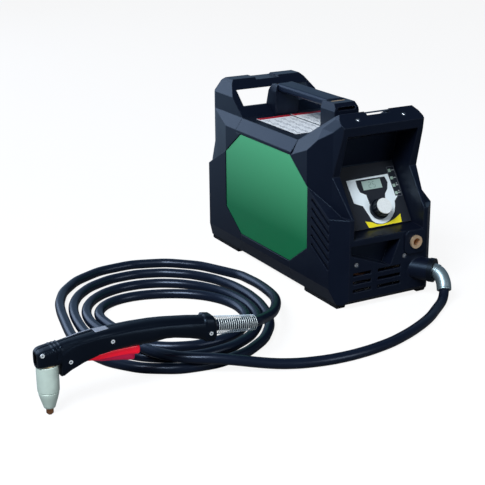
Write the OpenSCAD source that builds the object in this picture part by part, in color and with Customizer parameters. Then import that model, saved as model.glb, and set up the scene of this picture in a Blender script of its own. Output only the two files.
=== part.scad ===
// Portable air plasma cutter: inverter power unit, hand torch and torch lead.
// Millimetres. +Z up, the front panel faces -Y, and the feet stand on z = 0 at the origin.

/* [Case] */
// Width of the case across its side panels
case_w = 200; // [180:1:220]
// Length of the lower case from front face to rear face
case_l = 460; // [440:1:560]
// Height of the ridge of the hood
hood_h = 313; // [307:1:375]
// Wall thickness of the moulded case
wall = 4; // [3:0.5:5]
// Height at which the lower case ends and the hood begins
waist_h = 152; // [140:1:160]
// Upright chamfer at the corners of the lower case
corner = 24; // [16:1:28]
// Height of the top cover
deck_h = 255; // [250:1:262]
// Height of the foot pads
foot_h = 8; // [6:1:10]
// Gap between neighbouring case parts
seam = 0.25; // [0.15:0.05:0.4]

/* [Side panels] */
// Half the length of the level edges of the octagon
octagon_level = 84; // [70:1:95]
// Half the length of the octagon
octagon_half = 140; // [125:1:144]
// How far the raised field stands out of the panel flange
field_step = 3; // [2:0.5:4]

/* [Control panel] */
// Width of the control panel plate
panel_w = 132; // [124:1:136]
// Length of the control panel plate up its slope
panel_len = 108; // [104:1:112]
// Lean of the control panel from upright
panel_lean = 33.6; // [30:0.1:36]
// Diameter of the skirt of the current knob
knob_d = 34; // [28:1:41]
// Height of the current knob
knob_h = 22; // [18:1:27]
// Diameter of the encoder shaft
encoder_d = 6; // [5:0.5:8]

/* [Handle] */
// Width of the handle bar
grip_w = 36; // [30:1:44]
// Thickness of the handle bar
grip_t = 14; // [12:1:18]
// Top of the handle bar above the floor
grip_top = 311; // [308:1:330]
// Width of the handle blocks
block_w = 48; // [48:1:58]

/* [Sockets] */
// Outer diameter of the brass work socket
socket_d = 22; // [20:1:28]
// Bore of the brass work socket
socket_bore = 13; // [10:1:14]
// Outer diameter of the collar round the torch lead
collar_d = 40; // [36:1:42]

/* [Fan] */
// Size of the square fan frame
fan_size = 92; // [77:1:92]
// Depth of the fan frame
fan_depth = 25; // [20:1:30]
// Number of fan blades
fan_blades = 7; // [5:1:9]
// Diameter of the fan spindle
fan_spindle_d = 4; // [3:0.5:5]

/* [Torch] */
// Diameter of the shield cup
cup_d = 30; // [28:1:32]
// Thickness of the torch handle
handle_t = 34; // [32:1:40]
// Diameter of the trigger pin
pin_d = 3; // [2.5:0.5:4]
// Running clearance round pins and spindles
run_gap = 0.05; // [0.03:0.01:0.1]

/* [Lead] */
// Diameter of the torch lead
lead_d = 16; // [12:0.5:16]
// Sides of the open stretches of the lead
lead_sides = 10; // [8:1:12]
// Diameter of the spring relief on the torch
relief_d = 24; // [23:0.5:26]
// Length of the spring relief
relief_len = 68; // [56:1:80]
// Turns of the spring relief
relief_turns = 19; // [14:1:20]

/* [Hidden] */
$fn = 48;

half_w = case_w / 2;
half_l = case_l / 2;
over = 1;                            // overshoot of a cut past the face it opens
rest = 0.1;                          // gap under a piece that rests on another
floor_top = foot_h + wall;
room_h = 400;                        // taller than the whole case

// Case: v is the distance outward from the middle, towards the front or the rear
octagon_bottom = 46;
octagon_low = 85;
octagon_high = 189;
octagon_top = 231;
flange_lap = 3.5;                    // lap of a panel flange behind the case wall
flange_t = 2.2;
field_gap = 0.6;                     // reveal round the raised field
cover_front = octagon_level + 4;
cover_rear = octagon_level + 16;
deck_edge = 14;                      // width of the chamfer along the deck
deck_drop = 19;                      // height of the chamfer along the deck
skid_w = 10;                         // width of the chamfer along the bottom
skid_h = 26;                         // height of the chamfer along the bottom
shoulder_v = half_l - corner;
rim_v = half_l - 44;
rim_h = 213;
rim_half = half_w - 18;
lip_v = half_l - 21;
lip_h = hood_h - 17;
lip_drop = 14;
ridge_v = half_l - 46;
loop_v = ridge_v - 24;               // front edge of the top of the carrying loop
loop_top = hood_h - 1;
loop_low = loop_top - 16;            // underside of the bar of the loop
loop_half = half_w - 27;             // half the width of the opening of the loop
sill_h = deck_h + 16;                // ramp under the opening of the loop
sill_v = cover_rear + (sill_h - deck_h) * (loop_v - cover_rear) / (loop_top - 3 - deck_h) - 0.5;
hood_rise = (hood_h - deck_h) / (ridge_v - cover_front);
roof_lean = atan(hood_rise);
roof_taper = atan(deck_edge / (ridge_v - cover_front));
face_tilt = 90 - atan((hood_h - lip_h) / (lip_v - ridge_v));
function roof_h(v) = deck_h + (v - cover_front) * hood_rise;

// Control panel: s runs up its slope from the ledge, d outward from its face
panel_v = half_l - 30;
ledge_h = 122;
plate_t = 3;
seat_t = 4;
function slope(s, d) = [
    panel_v - s * sin(panel_lean) + d * cos(panel_lean),
    ledge_h + s * cos(panel_lean) + d * sin(panel_lean)
];
pocket_half = panel_w / 2 + 2;
pocket_top = 262;
pocket_back = 14;                    // lean-in of the recess above the panel
knob_at = [9, 28];
window_at = [13, 72.5];
window_size = [38, 16];
lamps_at = [54.5, 51.5];
lamp_step = 13.2;
lamp_count = 4;
lamp_size = 5;
board_gap = 8;
board_t = 1.6;
bush_d = encoder_d + 4;
bush_fit = 0.2;

// Front face: places are across and up
socket_at = [51, 98];
socket_barrel = socket_d - 4;
socket_plate = 40;
socket_plate_t = 3;
socket_fit = 0.2;
intake_depth = 24;
outlet_start = [45, half_l - 26, 49];
outlet_turn = 34;
outlet_len = 58;
collar_t = 8;
nose_d = collar_d - 2;
boot_d = lead_d + 8;
nose_bore = boot_d + 1;
front_screws = [[32, half_l, 76, 0], [-62, half_l, 76, 0]];
hood_screw_v = lip_v - 12;
hood_screw_h = lip_h + 12 * (hood_h - lip_h) / (lip_v - ridge_v);
hood_screws = [[-44, hood_screw_v, hood_screw_h, face_tilt], [44, hood_screw_v, hood_screw_h, face_tilt]];
loop_screw_v = lip_v - 2;
rear_screws = [
    [-60, half_l, 21, 0], [60, half_l, 21, 0], [-62, loop_screw_v, 236, 0], [62, loop_screw_v, 236, 0]
];
screw_head_d = 7.4;
screw_d = 4;
screw_len = 12;
screw_sunk = 3.2;

// Rear panel: places are across and up
rear_plane = half_l - 31;            // inner face of the rear wall
rear_plate_t = 2;
plate_face = rear_plane - rest;      // outer face of the rear panel
window_half = 66;
window_low = 36;
window_high = 218;
fan_at = [0, 88];
switch_at = [40, 190];
gland_at = [42, 153];
regulator_at = [-38, 188];
inlet_at = [-44, 150];
switch_w = 21;
switch_tall = 29;
rocker_w = 14;
rocker_half = 12;
rocker_tilt = 10;
rocker_pin_d = 3;
rocker_pin_z = -1;
gland_thread = 19;
inlet_thread = 13;
neck_d = 20;
stem_d = 6;
regulator_size = 34;
regulator_depth = 40;
stub_len = 6;
hose_d = 8;

// Handle
bar_low = grip_top - grip_t;
block_top = grip_top - 2;
front_rod = 72;
rear_rod = 102;
rod_d = 5;
rod_drop = 3;                        // depth of the rod's axis below the top of its block
rod_half = 17;
well_half = 7;
strap_slot = 5;
block_screws = [-front_rod - 1, rear_rod - 8];

// Torch: u along the handle from the axis of the tip, z up from the tip
torch_place = [-621, -105 - half_l, 0];
grip_end = 245.5;
grip_axis_h = 76;
grip_droop = 8;
shell_t = 2.5;
half_t = handle_t / 2;
head_r = cup_d / 2 - 3;
head_low = 45;
head_top = 88;
neck_h = 84;                         // height of the tube from the head to the handle
electrode_r = 4.5;
tip_r = 5;
cup_low = 10;
cup_top = 71.2;
trigger_pivot = [62, 77];
trigger_half = 8;
trigger_gap = 0.4;
pin_fit = 0.02;
switch_u = 75;
switch_low = 79.6;
plunger_d = 3;
plunger_low = 76.3;
torch_screw_places = [[-10, 91], [87.5, 91], [28, 74], [235, 71]];
torch_screw_d = 3;

// Torch lead
lead_r = lead_d / 2;
coil_centre = [-360, 130 - half_l];
coil_from = 30;                      // bearing where the outer turn begins
coil_rings = 24;                     // rings in a turn
coil_steps = 82;                     // rings along the whole coil
coil_sides = 6;
coil_mean = 213;                     // reach of the outer turn, and how it varies with the bearing
coil_oval = 40;
coil_oval_at = 75;
coil_shift = 22;
coil_shift_at = -6;
step_mean = 32;                      // step from turn to turn, and how it varies with the bearing
step_oval = 14;
step_oval_at = 66;
step_shift = 6;
step_shift_at = 72;
wire_d = 2.4;
curl_rings = 8;
boot_route = [[80.5, -258.5, 47], [81.5, -266, 42], [80.5, -273.5, 33.5], [77, -280, 23.5]];
run_route = [
    [68, -289.5, 10], [46, -304, 8], [11, -331, 8], [-20, -349, 8], [-56, -366, 8], [-100, -382, 8],
    [-145, -390, 8], [-182, -392, 8], [-218, -389, 8], [-258, -380, 8.5], [-290, -370, 11],
    [-320, -359, 16], [-350, -347, 22], [-378, -334, 25.5], [-406, -317, 25.5], [-430, -292, 25.5],
    [-446, -260, 25.5], [-449, -226, 26], [-446, -194, 26.5], [-441.5, -168, 23], [-437.5, -149, 14.5]
];
tail_route = [
    [-288, -316, 60], [-269, -301, 55], [-243, -274, 47], [-217, -238, 38], [-195, -203, 30],
    [-177, -168, 23], [-166, -132, 18], [-159, -98, 14.5], [-155.5, -66, 12], [-156, -38, 10]
];
hose_route = [
    [-38, 130, 188], [-40, 100, 191], [-45, 60, 200], [-53, 10, 206], [-60, -40, 200],
    [-65, -80, 172], [-66, -104, 132], [-66, -112, 95], [-66, -112, 70]
];
valve_at = [-66, -120];
tray_top = floor_top + rest + 2;

// ---- Shared shapes ----
// Outline of distance along Y and height, carried along X
module extrude_x(width) {
    rotate([90, 0, 90]) linear_extrude(height = width, center = true) children();
}
// Outline of distance along X and height, carried along Y
module extrude_y(length) {
    rotate([90, 0, 0]) linear_extrude(height = length, center = true) children();
}
module both_sides() {
    children();
    mirror([1, 0, 0]) children();
}
module at_front() {
    mirror([0, 1, 0]) children();
}
// Outline given for one half only, closed with its own mirror image
module symmetric(points) {
    n = len(points);
    polygon(concat(points, [for (i = [n - 1:-1:0]) [-points[i][0], points[i][1]]]));
}
function unit(v) = v / norm(v);
// The lead and the torch keep their distance from the front face
function placed(route) = [for (p = route) p + [0, 230 - half_l, 0]];
function heading(path, i) = unit(path[min(i + 1, len(path) - 1)] - path[max(i - 1, 0)]);
function ring(path, i, radius, sides, up) =
    let (along = heading(path, i), side = unit(cross(along, up)), top = cross(side, along))
    [for (k = [0:sides - 1])
        path[i] + radius * (sin(360 * k / sides) * side + cos(360 * k / sides) * top)];
// Round tube swept along a path, closed at both ends
module tube(path, radius, sides, up = [0, 0, 1]) {
    n = len(path);
    last = sides * (n - 1);
    function corner_of(i, k) = i * sides + k % sides;
    polyhedron(
        points = [for (i = [0:n - 1]) each ring(path, i, radius, sides, up)],
        faces = concat(
            [for (k = [1:sides - 2]) [0, k, k + 1]],
            [for (i = [0:n - 2], k = [0:sides - 1])
                [corner_of(i, k), corner_of(i + 1, k), corner_of(i + 1, k + 1)]],
            [for (i = [0:n - 2], k = [0:sides - 1])
                [corner_of(i, k), corner_of(i + 1, k + 1), corner_of(i, k + 1)]],
            [for (k = [1:sides - 2]) [last, last + k + 1, last + k]]
        )
    );
}
// Least gap between turns of a wound tube, measured on its centre points
function least_gap(path, rings, diameter) = min([
    for (i = [0:len(path) - 1 - rings / 2], j = [i + rings / 2:len(path) - 1])
        norm(path[i] - path[j]) - diameter
]);

// ---- Case outlines ----
module octagon() {
    symmetric([
        [octagon_level, octagon_bottom], [octagon_half, octagon_low],
        [octagon_half, octagon_high], [octagon_level, octagon_top]
    ]);
}
module plan_loop() {
    symmetric([[half_w, 0], [half_w, octagon_half - 2], [half_w - 11, ridge_v + 8], [half_w - 20, half_l]]);
}
module plan_lower() {
    symmetric([[half_w, 0], [half_w, shoulder_v], [half_w - corner, half_l]]);
}
module plan_upper() {
    symmetric([[half_w, 0], [half_w, octagon_half - 2], [rim_half, rim_v], [rim_half - 10, half_l]]);
}
module section_lower() {
    symmetric([[half_w - skid_w, foot_h], [half_w, foot_h + skid_h], [half_w, room_h]]);
}
module section_deck() {
    symmetric([[half_w, octagon_low], [half_w, deck_h - deck_drop], [half_w - deck_edge, deck_h]]);
}
module section_hood() {
    symmetric([
        [half_w, octagon_low], [half_w, deck_h + 3], [rim_half, lip_h - 10],
        [rim_half - 6, lip_h + 10], [rim_half - 13, hood_h + over]
    ]);
}
module section_loop() {
    symmetric([
        [half_w, octagon_low], [half_w, deck_h - deck_drop], [half_w - deck_edge, deck_h],
        [half_w - 13, lip_h - 10], [half_w - 24, loop_top - 6], [half_w - 31, loop_top + over]
    ]);
}
module side_lower() {
    polygon([
        [0, foot_h], [half_l - 8, foot_h], [half_l, foot_h + 8], [half_l, waist_h],
        [shoulder_v, waist_h], [octagon_half, octagon_high], [0, octagon_high]
    ]);
}
module side_hood() {
    polygon([
        [0, octagon_low], [half_l, octagon_low], [half_l, waist_h], [rim_v, rim_h],
        [lip_v - 3, lip_h - lip_drop - 4], [lip_v, lip_h], [ridge_v, hood_h], [cover_front, deck_h],
        [0, deck_h]
    ]);
}
module side_loop() {
    polygon([
        [0, octagon_low], [half_l, octagon_low], [half_l, waist_h], [lip_v - 2, 192],
        [lip_v - 2, lip_h - 12], [lip_v - 11, loop_top - 4], [lip_v - 17, loop_top], [loop_v + 4, loop_top],
        [loop_v, loop_top - 3], [cover_rear, deck_h], [0, deck_h]
    ]);
}
// The rear bezel below the opening of its loop
module side_sill() {
    polygon([
        [0, octagon_low], [half_l, octagon_low], [half_l, waist_h], [lip_v - 2, 192],
        [lip_v - 2, deck_h - 8], [sill_v + 32, deck_h + 3], [sill_v + 6, sill_h], [sill_v, sill_h],
        [cover_rear, deck_h], [0, deck_h]
    ]);
}
// Solid common to a side outline, a plan and a section
module carved() {
    intersection() {
        extrude_x(case_w + 2 * over) children(0);
        linear_extrude(height = room_h) children(1);
        translate([0, half_l / 2, 0]) extrude_y(half_l + 2 * over) children(2);
    }
}
// The room one wall inside such a solid
module room() {
    carved() {
        offset(delta = -wall) children(0);
        offset(delta = -wall) children(1);
        offset(delta = -wall) children(2);
    }
}
module lower_block() {
    carved() { side_lower(); plan_lower(); section_lower(); }
}
module lower_room() {
    room() { side_lower(); plan_lower(); section_lower(); }
}
// What the middle of the case and the side panels take away from a bezel
module middle_zone(cover_end) {
    translate([-half_w - over, -over, 0]) cube([case_w + 2 * over, octagon_level + over, room_h]);
    translate([-half_w - over, 0, octagon_top]) cube([case_w + 2 * over, cover_end, room_h]);
    both_sides() {
        translate([half_w, 0, 0]) extrude_x(3 * wall) octagon();
        translate([half_w - wall - flange_t, 0, 0])
            extrude_x(2 * flange_t) offset(delta = flange_lap + 0.5) octagon();
    }
}
module screw_seat(place) {
    translate([place[0], place[1], place[2]]) rotate([place[3] - 90, 0, 0]) {
        translate([0, 0, -screw_sunk]) cylinder(d = screw_head_d + 0.6, h = 12);
        translate([0, 0, -screw_len - 4]) cylinder(d = screw_d + 0.2, h = screw_len + 2);
    }
}
module screw(place) {
    translate([place[0], place[1], place[2]]) rotate([place[3] - 90, 0, 0]) {
        difference() {
            translate([0, 0, -screw_sunk]) cylinder(d = screw_head_d, h = 2.6);
            translate([0, 0, -2]) cylinder(d = 3.6, h = 4, $fn = 6);
        }
        translate([0, 0, -screw_len - 3]) cylinder(d = screw_d, h = screw_len);
    }
}

// ---- Front bezel ----
module roof_chamfer() {
    translate([half_w - deck_edge, cover_front, deck_h]) rotate([roof_lean, 0, roof_taper])
        translate([0, 100, 0]) extrude_y(260) polygon([
            [0, 0], [2 * deck_edge, -2 * deck_drop], [5 * deck_edge, -2 * deck_drop],
            [5 * deck_edge, 60], [0, 60]
        ]);
}
module hood_block() {
    difference() {
        carved() { side_hood(); plan_upper(); section_hood(); }
        both_sides() roof_chamfer();
    }
}
module hood_room() {
    room() { side_hood(); plan_upper(); section_deck(); }
}
// Everything behind the control panel seat and under the hood
module behind_panel() {
    low = slope(0, -plate_t - seat_t);
    high = slope(panel_len + 4, -plate_t - seat_t);
    extrude_x(case_w) polygon([
        [0, floor_top], [half_l - 12, floor_top], [half_l - wall, floor_top + 8],
        [half_l - wall, ledge_h - 10], [low[0], ledge_h - 10], low, high, [high[0], room_h], [0, room_h]
    ]);
}
module control_pocket() {
    low = slope(0, -plate_t);
    high = slope(panel_len + 3, -plate_t);
    extrude_x(2 * pocket_half) polygon([
        low, high, [high[0] + pocket_back, pocket_top], [lip_v + over, lip_h - lip_drop],
        [half_l + 30, lip_h - lip_drop], [half_l + 30, ledge_h - 6], [low[0] + 4, ledge_h - 2]
    ]);
}
// Frame on the control panel: X across, Y up the slope, Z outward
module on_panel() {
    translate([0, -panel_v, ledge_h]) rotate([90 - panel_lean, 0, 0]) children();
}
module panel_window() {
    at_front() on_panel() translate([-50, 14, -20]) cube([112, 82, 20 - plate_t + over]);
}
module intake(depth, grow) {
    translate([0, half_l - depth + 30, 0]) extrude_y(60) offset(delta = grow)
        polygon([[-74, 108], [22, 107], [4, 64], [-72, 92]]);
}
module louvres() {
    for (row = [29, 43, 57]) {
        translate([-68, half_l - 12, row]) cube([35, 24, 5.5]);
        translate([-20, half_l - 12, row]) cube([45, 24, 5.5]);
    }
}
module cheek_slots() {
    fall = atan((octagon_high - waist_h) / (shoulder_v - octagon_half));
    both_sides() translate([half_w, 0, 0]) extrude_x(3 * wall)
        for (i = [0:5]) translate([octagon_half + 12, octagon_high - 20 - 15 * i]) rotate(-fall)
            square([(shoulder_v - octagon_half - 14) / cos(fall), 5.5]);
}
module on_outlet() {
    translate(outlet_start) rotate([0, 0, -outlet_turn]) rotate([-90, 0, 0]) children();
}
// Slot under the ridge of the hood, open to the sky behind it, and the dip over it
module hood_slot() {
    translate([0, ridge_v, hood_h]) extrude_x(44)
        polygon([[31, 1.6], [31, 4.4], [-6, -5.5], [-6, 30], [-34, 30], [-34, -15.8]]);
    translate([-24, ridge_v - 10, hood_h - 2]) cube([48, 40, 10]);
}
module on_socket() {
    translate([socket_at[0], half_l, socket_at[1]]) rotate([-90, 0, 0]) children();
}
module front_block() {
    difference() {
        union() {
            lower_block();
            hood_block();
            on_outlet() translate([0, 0, -10]) cylinder(d = nose_d, h = outlet_len - collar_t + 10);
        }
        middle_zone(cover_front);
        difference() {
            intersection() {
                behind_panel();
                union() { lower_room(); hood_room(); }
            }
            intake(intake_depth + wall, wall);
        }
        control_pocket();
        panel_window();
        intake(intake_depth, 0);
        louvres();
        cheek_slots();
        hood_slot();
        on_outlet() translate([0, 0, -60]) cylinder(d = nose_bore, h = outlet_len + 70);
        on_socket() translate([0, 0, -30]) cylinder(d = socket_barrel + 2 * socket_fit, h = 40);
        for (place = concat(front_screws, hood_screws)) screw_seat(place);
    }
}
module front_bezel() {
    color("#20242e") at_front() front_block();
}

// ---- Rear bezel ----
module rear_room() {
    intersection() {
        translate([-half_w, -over, 0]) cube([case_w, rear_plane + over, room_h]);
        union() {
            lower_room();
            room() { side_sill(); plan_upper(); section_deck(); }
        }
    }
}
module rear_block() {
    difference() {
        union() {
            lower_block();
            carved() { side_loop(); plan_loop(); section_loop(); }
        }
        middle_zone(cover_rear);
        rear_room();
        // opening of the carrying loop, and the dip along its top
        extrude_x(2 * loop_half) polygon([
            [cover_rear - 20, sill_h], [sill_v + 6, sill_h], [sill_v + 32, deck_h + 3],
            [lip_v - 2, deck_h - 8], [half_l, deck_h - 8], [half_l, loop_low], [cover_rear - 20, loop_low]
        ]);
        translate([-24, loop_v - 20, loop_top - 3.5]) cube([48, 80, 10]);
        // recess behind the rear edge, and the window that shows the rear panel
        translate([0, rear_plane + wall + 30, 0]) extrude_y(60) symmetric([
            [window_half - 6, window_low - 10], [window_half + 6, window_low + 2],
            [window_half + 6, window_high], [window_half - 4, window_high + 10]
        ]);
        translate([0, rear_plane, 0]) extrude_y(4 * wall)
            symmetric([[window_half, window_low], [window_half, window_high]]);
        for (place = rear_screws) screw_seat(place);
    }
}
module rear_bezel() {
    color("#20242e") rear_block();
}

// ---- Middle of the case ----
module cover_holes() {
    for (y = block_screws) translate([0, y, deck_h - 20]) cylinder(d = screw_d + 0.2, h = 40);
}
module top_cover() {
    color("#262b36") difference() {
        translate([0, (cover_rear - cover_front) / 2, 0])
            extrude_y(cover_front + cover_rear - 2 * seam) intersection() {
                section_deck();
                translate([-half_w, octagon_top + seam]) square([case_w, 60]);
            }
        extrude_y(case_l) offset(delta = -wall) section_deck();
        cover_holes();
    }
}
module sills() {
    inner = half_w - wall;
    color("#20242e") both_sides() extrude_y(2 * (octagon_level - seam)) polygon([
        [half_w - 40, foot_h], [half_w - skid_w, foot_h], [half_w, foot_h + skid_h],
        [half_w, octagon_bottom - seam], [inner, octagon_bottom - seam], [inner, foot_h + skid_h + 1],
        [half_w - skid_w - 0.7 * wall, floor_top], [half_w - 40, floor_top]
    ]);
}
module side_panel() {
    back = half_w - wall - 0.15 - flange_t;
    color("#1f8a57") {
        translate([back + flange_t / 2, 0, 0]) extrude_x(flange_t) offset(delta = flange_lap) octagon();
        translate([back + flange_t + field_step / 2 - rest, 0, 0])
            extrude_x(field_step + 2 * rest) offset(delta = -field_gap) octagon();
    }
}
module side_panel_right() {
    side_panel();
}
module side_panel_left() {
    mirror([1, 0, 0]) side_panel();
}
module base_tray() {
    color("#9aa0a6") {
        translate([16 - half_w, 40 - half_l, floor_top + rest]) cube([case_w - 32, case_l - 80, 2]);
        both_sides() translate([half_w - 18, 40 - half_l, floor_top + rest]) cube([2, case_l - 80, 20]);
    }
}
module feet() {
    color("#15171b") both_sides() {
        translate([half_w - 19, half_l - 65, 0]) foot();
        translate([half_w - 19, 65 - half_l, 0]) foot();
    }
}
module foot() {
    extrude_y(96) polygon([[-10, 1.5], [-8.5, 0], [6.5, 0], [8.5, 2.5], [8.5, foot_h], [-10, foot_h]]);
}
module case_screws() {
    color("#b8bcc2") {
        at_front() for (place = concat(front_screws, hood_screws)) screw(place);
        for (place = rear_screws) screw(place);
        for (y = block_screws) translate([0, y, deck_h - 16]) {
            cylinder(d = screw_d, h = 24);
            translate([0, 0, 16 - wall - screw_sunk]) cylinder(d = screw_head_d, h = screw_sunk - 0.2);
        }
    }
}

// ---- Carrying handle ----
module handle_bar() {
    from = front_rod - well_half;
    to = rear_rod - well_half;
    color("#1c2029") translate([0, (to - from) / 2, grip_top - grip_t / 2])
        extrude_y(to + from) offset(r = 5, $fn = 24) square([grip_w - 10, grip_t - 10], center = true);
}
// Block under one end of the bar, from its inner end to its outer end
module handle_block(inner, outer, rod) {
    front = rod < 90;
    foot_of = front
        ? [[cover_front, deck_h + rest], [outer, roof_h(outer) + rest], [outer, block_top - 8]]
        : [[cover_rear, deck_h + rest], [sill_v, sill_h + rest], [sill_v + 6, sill_h + rest],
            [outer, block_top - 8]];
    difference() {
        intersection() {
            extrude_x(block_w) polygon(concat(
                [[inner, deck_h + rest]], foot_of, [[outer - 7, block_top], [inner, block_top]]
            ));
            translate([0, rod, 0]) extrude_y(120) symmetric([
                [block_w / 2, deck_h - over], [block_w / 2, block_top - 13], [block_w / 2 - 4, block_top + over]
            ]);
        }
        translate([-grip_w / 2 - 0.15, inner - over, bar_low - rest])
            cube([grip_w + 0.3, rod - well_half + 0.2 - inner + over, 2 * grip_t]);
        translate([-well_half * 2, rod - well_half, bar_low - 6]) cube([4 * well_half, 2 * well_half, 40]);
        translate([0, rod, block_top - rod_drop]) rotate([0, 90, 0])
            cylinder(d = rod_d + 0.2, h = 2 * rod_half + 0.2, center = true);
        translate([-rod_half, rod, block_top - 11.5]) cube([2 * rod_half, outer - rod + over, strap_slot]);
        translate([0, rod + (front ? 1 : -8), deck_h - over]) cylinder(d = screw_d + 0.2, h = 12);
    }
}
module handle_block_front() {
    color("#262b36") at_front() handle_block(58, 101, front_rod);
}
module handle_block_rear() {
    color("#262b36") handle_block(90, 114, rear_rod);
}
module strap_bars() {
    color("#b8923c") for (y = [-front_rod, rear_rod]) translate([0, y, block_top - rod_drop])
        rotate([0, 90, 0]) cylinder(d = rod_d, h = 2 * rod_half, center = true);
}
module deck_plates() {
    color("#e8e8e6") both_sides() translate([2.5, -53, deck_h]) cube([66, 134, 0.5]);
}

// ---- Control panel ----
module control_panel() {
    color("#3c4048") on_panel() difference() {
        translate([-panel_w / 2, 0.2, rest - plate_t]) cube([panel_w, panel_len, plate_t - rest]);
        translate([window_at[0] - window_size[0] / 2, window_at[1] - window_size[1] / 2, -plate_t])
            cube([window_size[0], window_size[1], 10]);
        translate([knob_at[0], knob_at[1], -10]) cylinder(d = bush_d + 2 * bush_fit, h = 20);
        for (i = [0:lamp_count - 1]) translate([lamps_at[0], lamps_at[1] + i * lamp_step, 0])
            cube([lamp_size + 2 * rest, lamp_size + 2 * rest, 4 * plate_t], center = true);
    }
}
module display_module() {
    back = rest - plate_t - board_gap;
    color("#cfe3dc") on_panel() translate([window_at[0], window_at[1], back]) {
        translate([-28, -13, 0]) cube([56, 26, board_gap - 2 * rest]);
        translate([rest - window_size[0] / 2, rest - window_size[1] / 2, 0])
            cube([window_size[0] - 2 * rest, window_size[1] - 2 * rest, board_gap + plate_t - 1]);
    }
}
module indicator_lamps() {
    color("#e6e6e0") on_panel() for (i = [0:lamp_count - 1]) translate([
        lamps_at[0] - lamp_size / 2, lamps_at[1] + i * lamp_step - lamp_size / 2, rest - plate_t - board_gap
    ]) cube([lamp_size, lamp_size, plate_t + board_gap]);
}
module control_board() {
    color("#1f5a3a") on_panel() difference() {
        translate([-48, 16, -plate_t - board_gap - board_t]) cube([112, 78, board_t]);
        translate([knob_at[0], knob_at[1], -30]) cylinder(d = bush_d + 2 * bush_fit, h = 30);
    }
}
module encoder_body() {
    color("#8c9094") on_panel() translate([knob_at[0], knob_at[1], 0]) difference() {
        union() {
            translate([-7, -7, rest - plate_t - board_gap]) cube([14, 14, board_gap - 2 * rest]);
            translate([0, 0, -plate_t - board_gap - board_t]) cylinder(d = bush_d, h = 3);
            translate([0, 0, -plate_t - over]) cylinder(d = bush_d, h = plate_t + 2.5);
        }
        translate([0, 0, -30]) cylinder(d = encoder_d + 2 * run_gap, h = 60);
    }
}
module encoder_shaft() {
    color("#c9ccd0") on_panel() translate([knob_at[0], knob_at[1], -plate_t - board_gap - over])
        cylinder(d = encoder_d, h = plate_t + board_gap + over + 10);
}
module current_knob() {
    color("#1a1c20") on_panel() translate([knob_at[0], knob_at[1], 0]) difference() {
        union() {
            translate([0, 0, 2]) cylinder(d = knob_d, h = 5);
            translate([0, 0, 6]) cylinder(d1 = knob_d - 5, d2 = knob_d - 7, h = knob_h - 8);
            for (a = [0:20:340]) rotate([0, 0, a]) translate([knob_d / 2 - 3.6, 0, 6])
                cylinder(d = 2.8, h = knob_h - 10, $fn = 16);
        }
        translate([0, 0, over]) cylinder(d = encoder_d + 2 * pin_fit, h = 9.2);
    }
}
module knob_cap() {
    color("#cfd3d6") on_panel() translate([knob_at[0], knob_at[1], knob_h - 2]) difference() {
        cylinder(d = knob_d - 7.5, h = 2);
        translate([-0.8, knob_d / 2 - 9, 1.4]) cube([1.6, 4, 2]);
    }
}

// ---- Front sockets ----
module work_socket_flange() {
    half = socket_plate / 2;
    color("#2a2e38") at_front() on_socket() difference() {
        linear_extrude(height = socket_plate_t) polygon([
            [-half, -half + 6], [-half + 6, -half], [half - 6, -half], [half, -half + 6],
            [half, half - 6], [half - 6, half], [6 - half, half], [-half, half - 6]
        ]);
        translate([0, 0, -over]) cylinder(d = socket_barrel + 2 * socket_fit, h = 10);
    }
}
module work_socket() {
    color("#b8862c") at_front() on_socket() difference() {
        union() {
            translate([0, 0, socket_plate_t + rest]) cylinder(d = socket_d, h = 3.5);
            translate([0, 0, -26]) cylinder(d = socket_barrel, h = 31);
            translate([0, 0, -38]) cylinder(d = 10, h = 14);
        }
        translate([0, 0, -20]) cylinder(d = socket_bore, h = 30);
    }
}
module lead_collar() {
    color("#1b1e26") at_front() on_outlet() translate([0, 0, outlet_len - collar_t + rest]) difference() {
        cylinder(d = collar_d, h = collar_t);
        translate([0, 0, -over]) cylinder(d = boot_d + 0.6, h = collar_t + 2 * over);
    }
}
function on_outlet_axis(h) = [
    outlet_start[0] + h * sin(outlet_turn), -outlet_start[1] - h * cos(outlet_turn), outlet_start[2]
];
boot_path = concat([for (h = [outlet_len - collar_t - 3, outlet_len + 1]) on_outlet_axis(h)], placed(boot_route));
boot_end = boot_path[len(boot_path) - 1];
boot_heading = unit(boot_end - boot_path[len(boot_path) - 2]);
module lead_boot() {
    color("#b9bdc2") tube(boot_path, boot_d / 2, 12);
}
module torch_adaptor() {
    color("#b8862c") at_front() on_outlet() {
        translate([0, 0, 6]) cylinder(d = nose_bore - 0.6, h = outlet_len - collar_t - 10);
        translate([0, 0, -30]) cylinder(d = 14, h = 40);
        translate([0, 0, -26]) cylinder(d = 24, h = 8, $fn = 6);
    }
}

// ---- Rear panel and what it carries ----
// Frame on the outer face of the rear panel: Z outward, Y downward
module on_rear(at) {
    translate([at[0], plate_face, at[1]]) rotate([-90, 0, 0]) children();
}
module rear_hole(at, diameter) {
    on_rear(at) translate([0, 0, -10]) cylinder(d = diameter, h = 20);
}
module fan_corners() {
    reach = fan_size / 2 - 6;
    for (x = [-reach, reach], y = [-reach, reach]) translate([x, y, 0]) children();
}
module rear_panel() {
    color("#2b2f36") difference() {
        translate([-window_half - 5, plate_face - rear_plate_t, window_low - 6])
            cube([2 * window_half + 10, rear_plate_t, window_high - window_low + 12]);
        rear_hole(fan_at, fan_size - 6);
        rear_hole(gland_at, gland_thread + 0.6);
        rear_hole(inlet_at, inlet_thread + 0.6);
        rear_hole(regulator_at, neck_d + 0.6);
        on_rear(switch_at) cube([switch_w + 0.6, switch_tall + 0.6, 20], center = true);
    }
}
fan_back = -rear_plate_t - rest - fan_depth;
fan_hub_t = 6;
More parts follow.
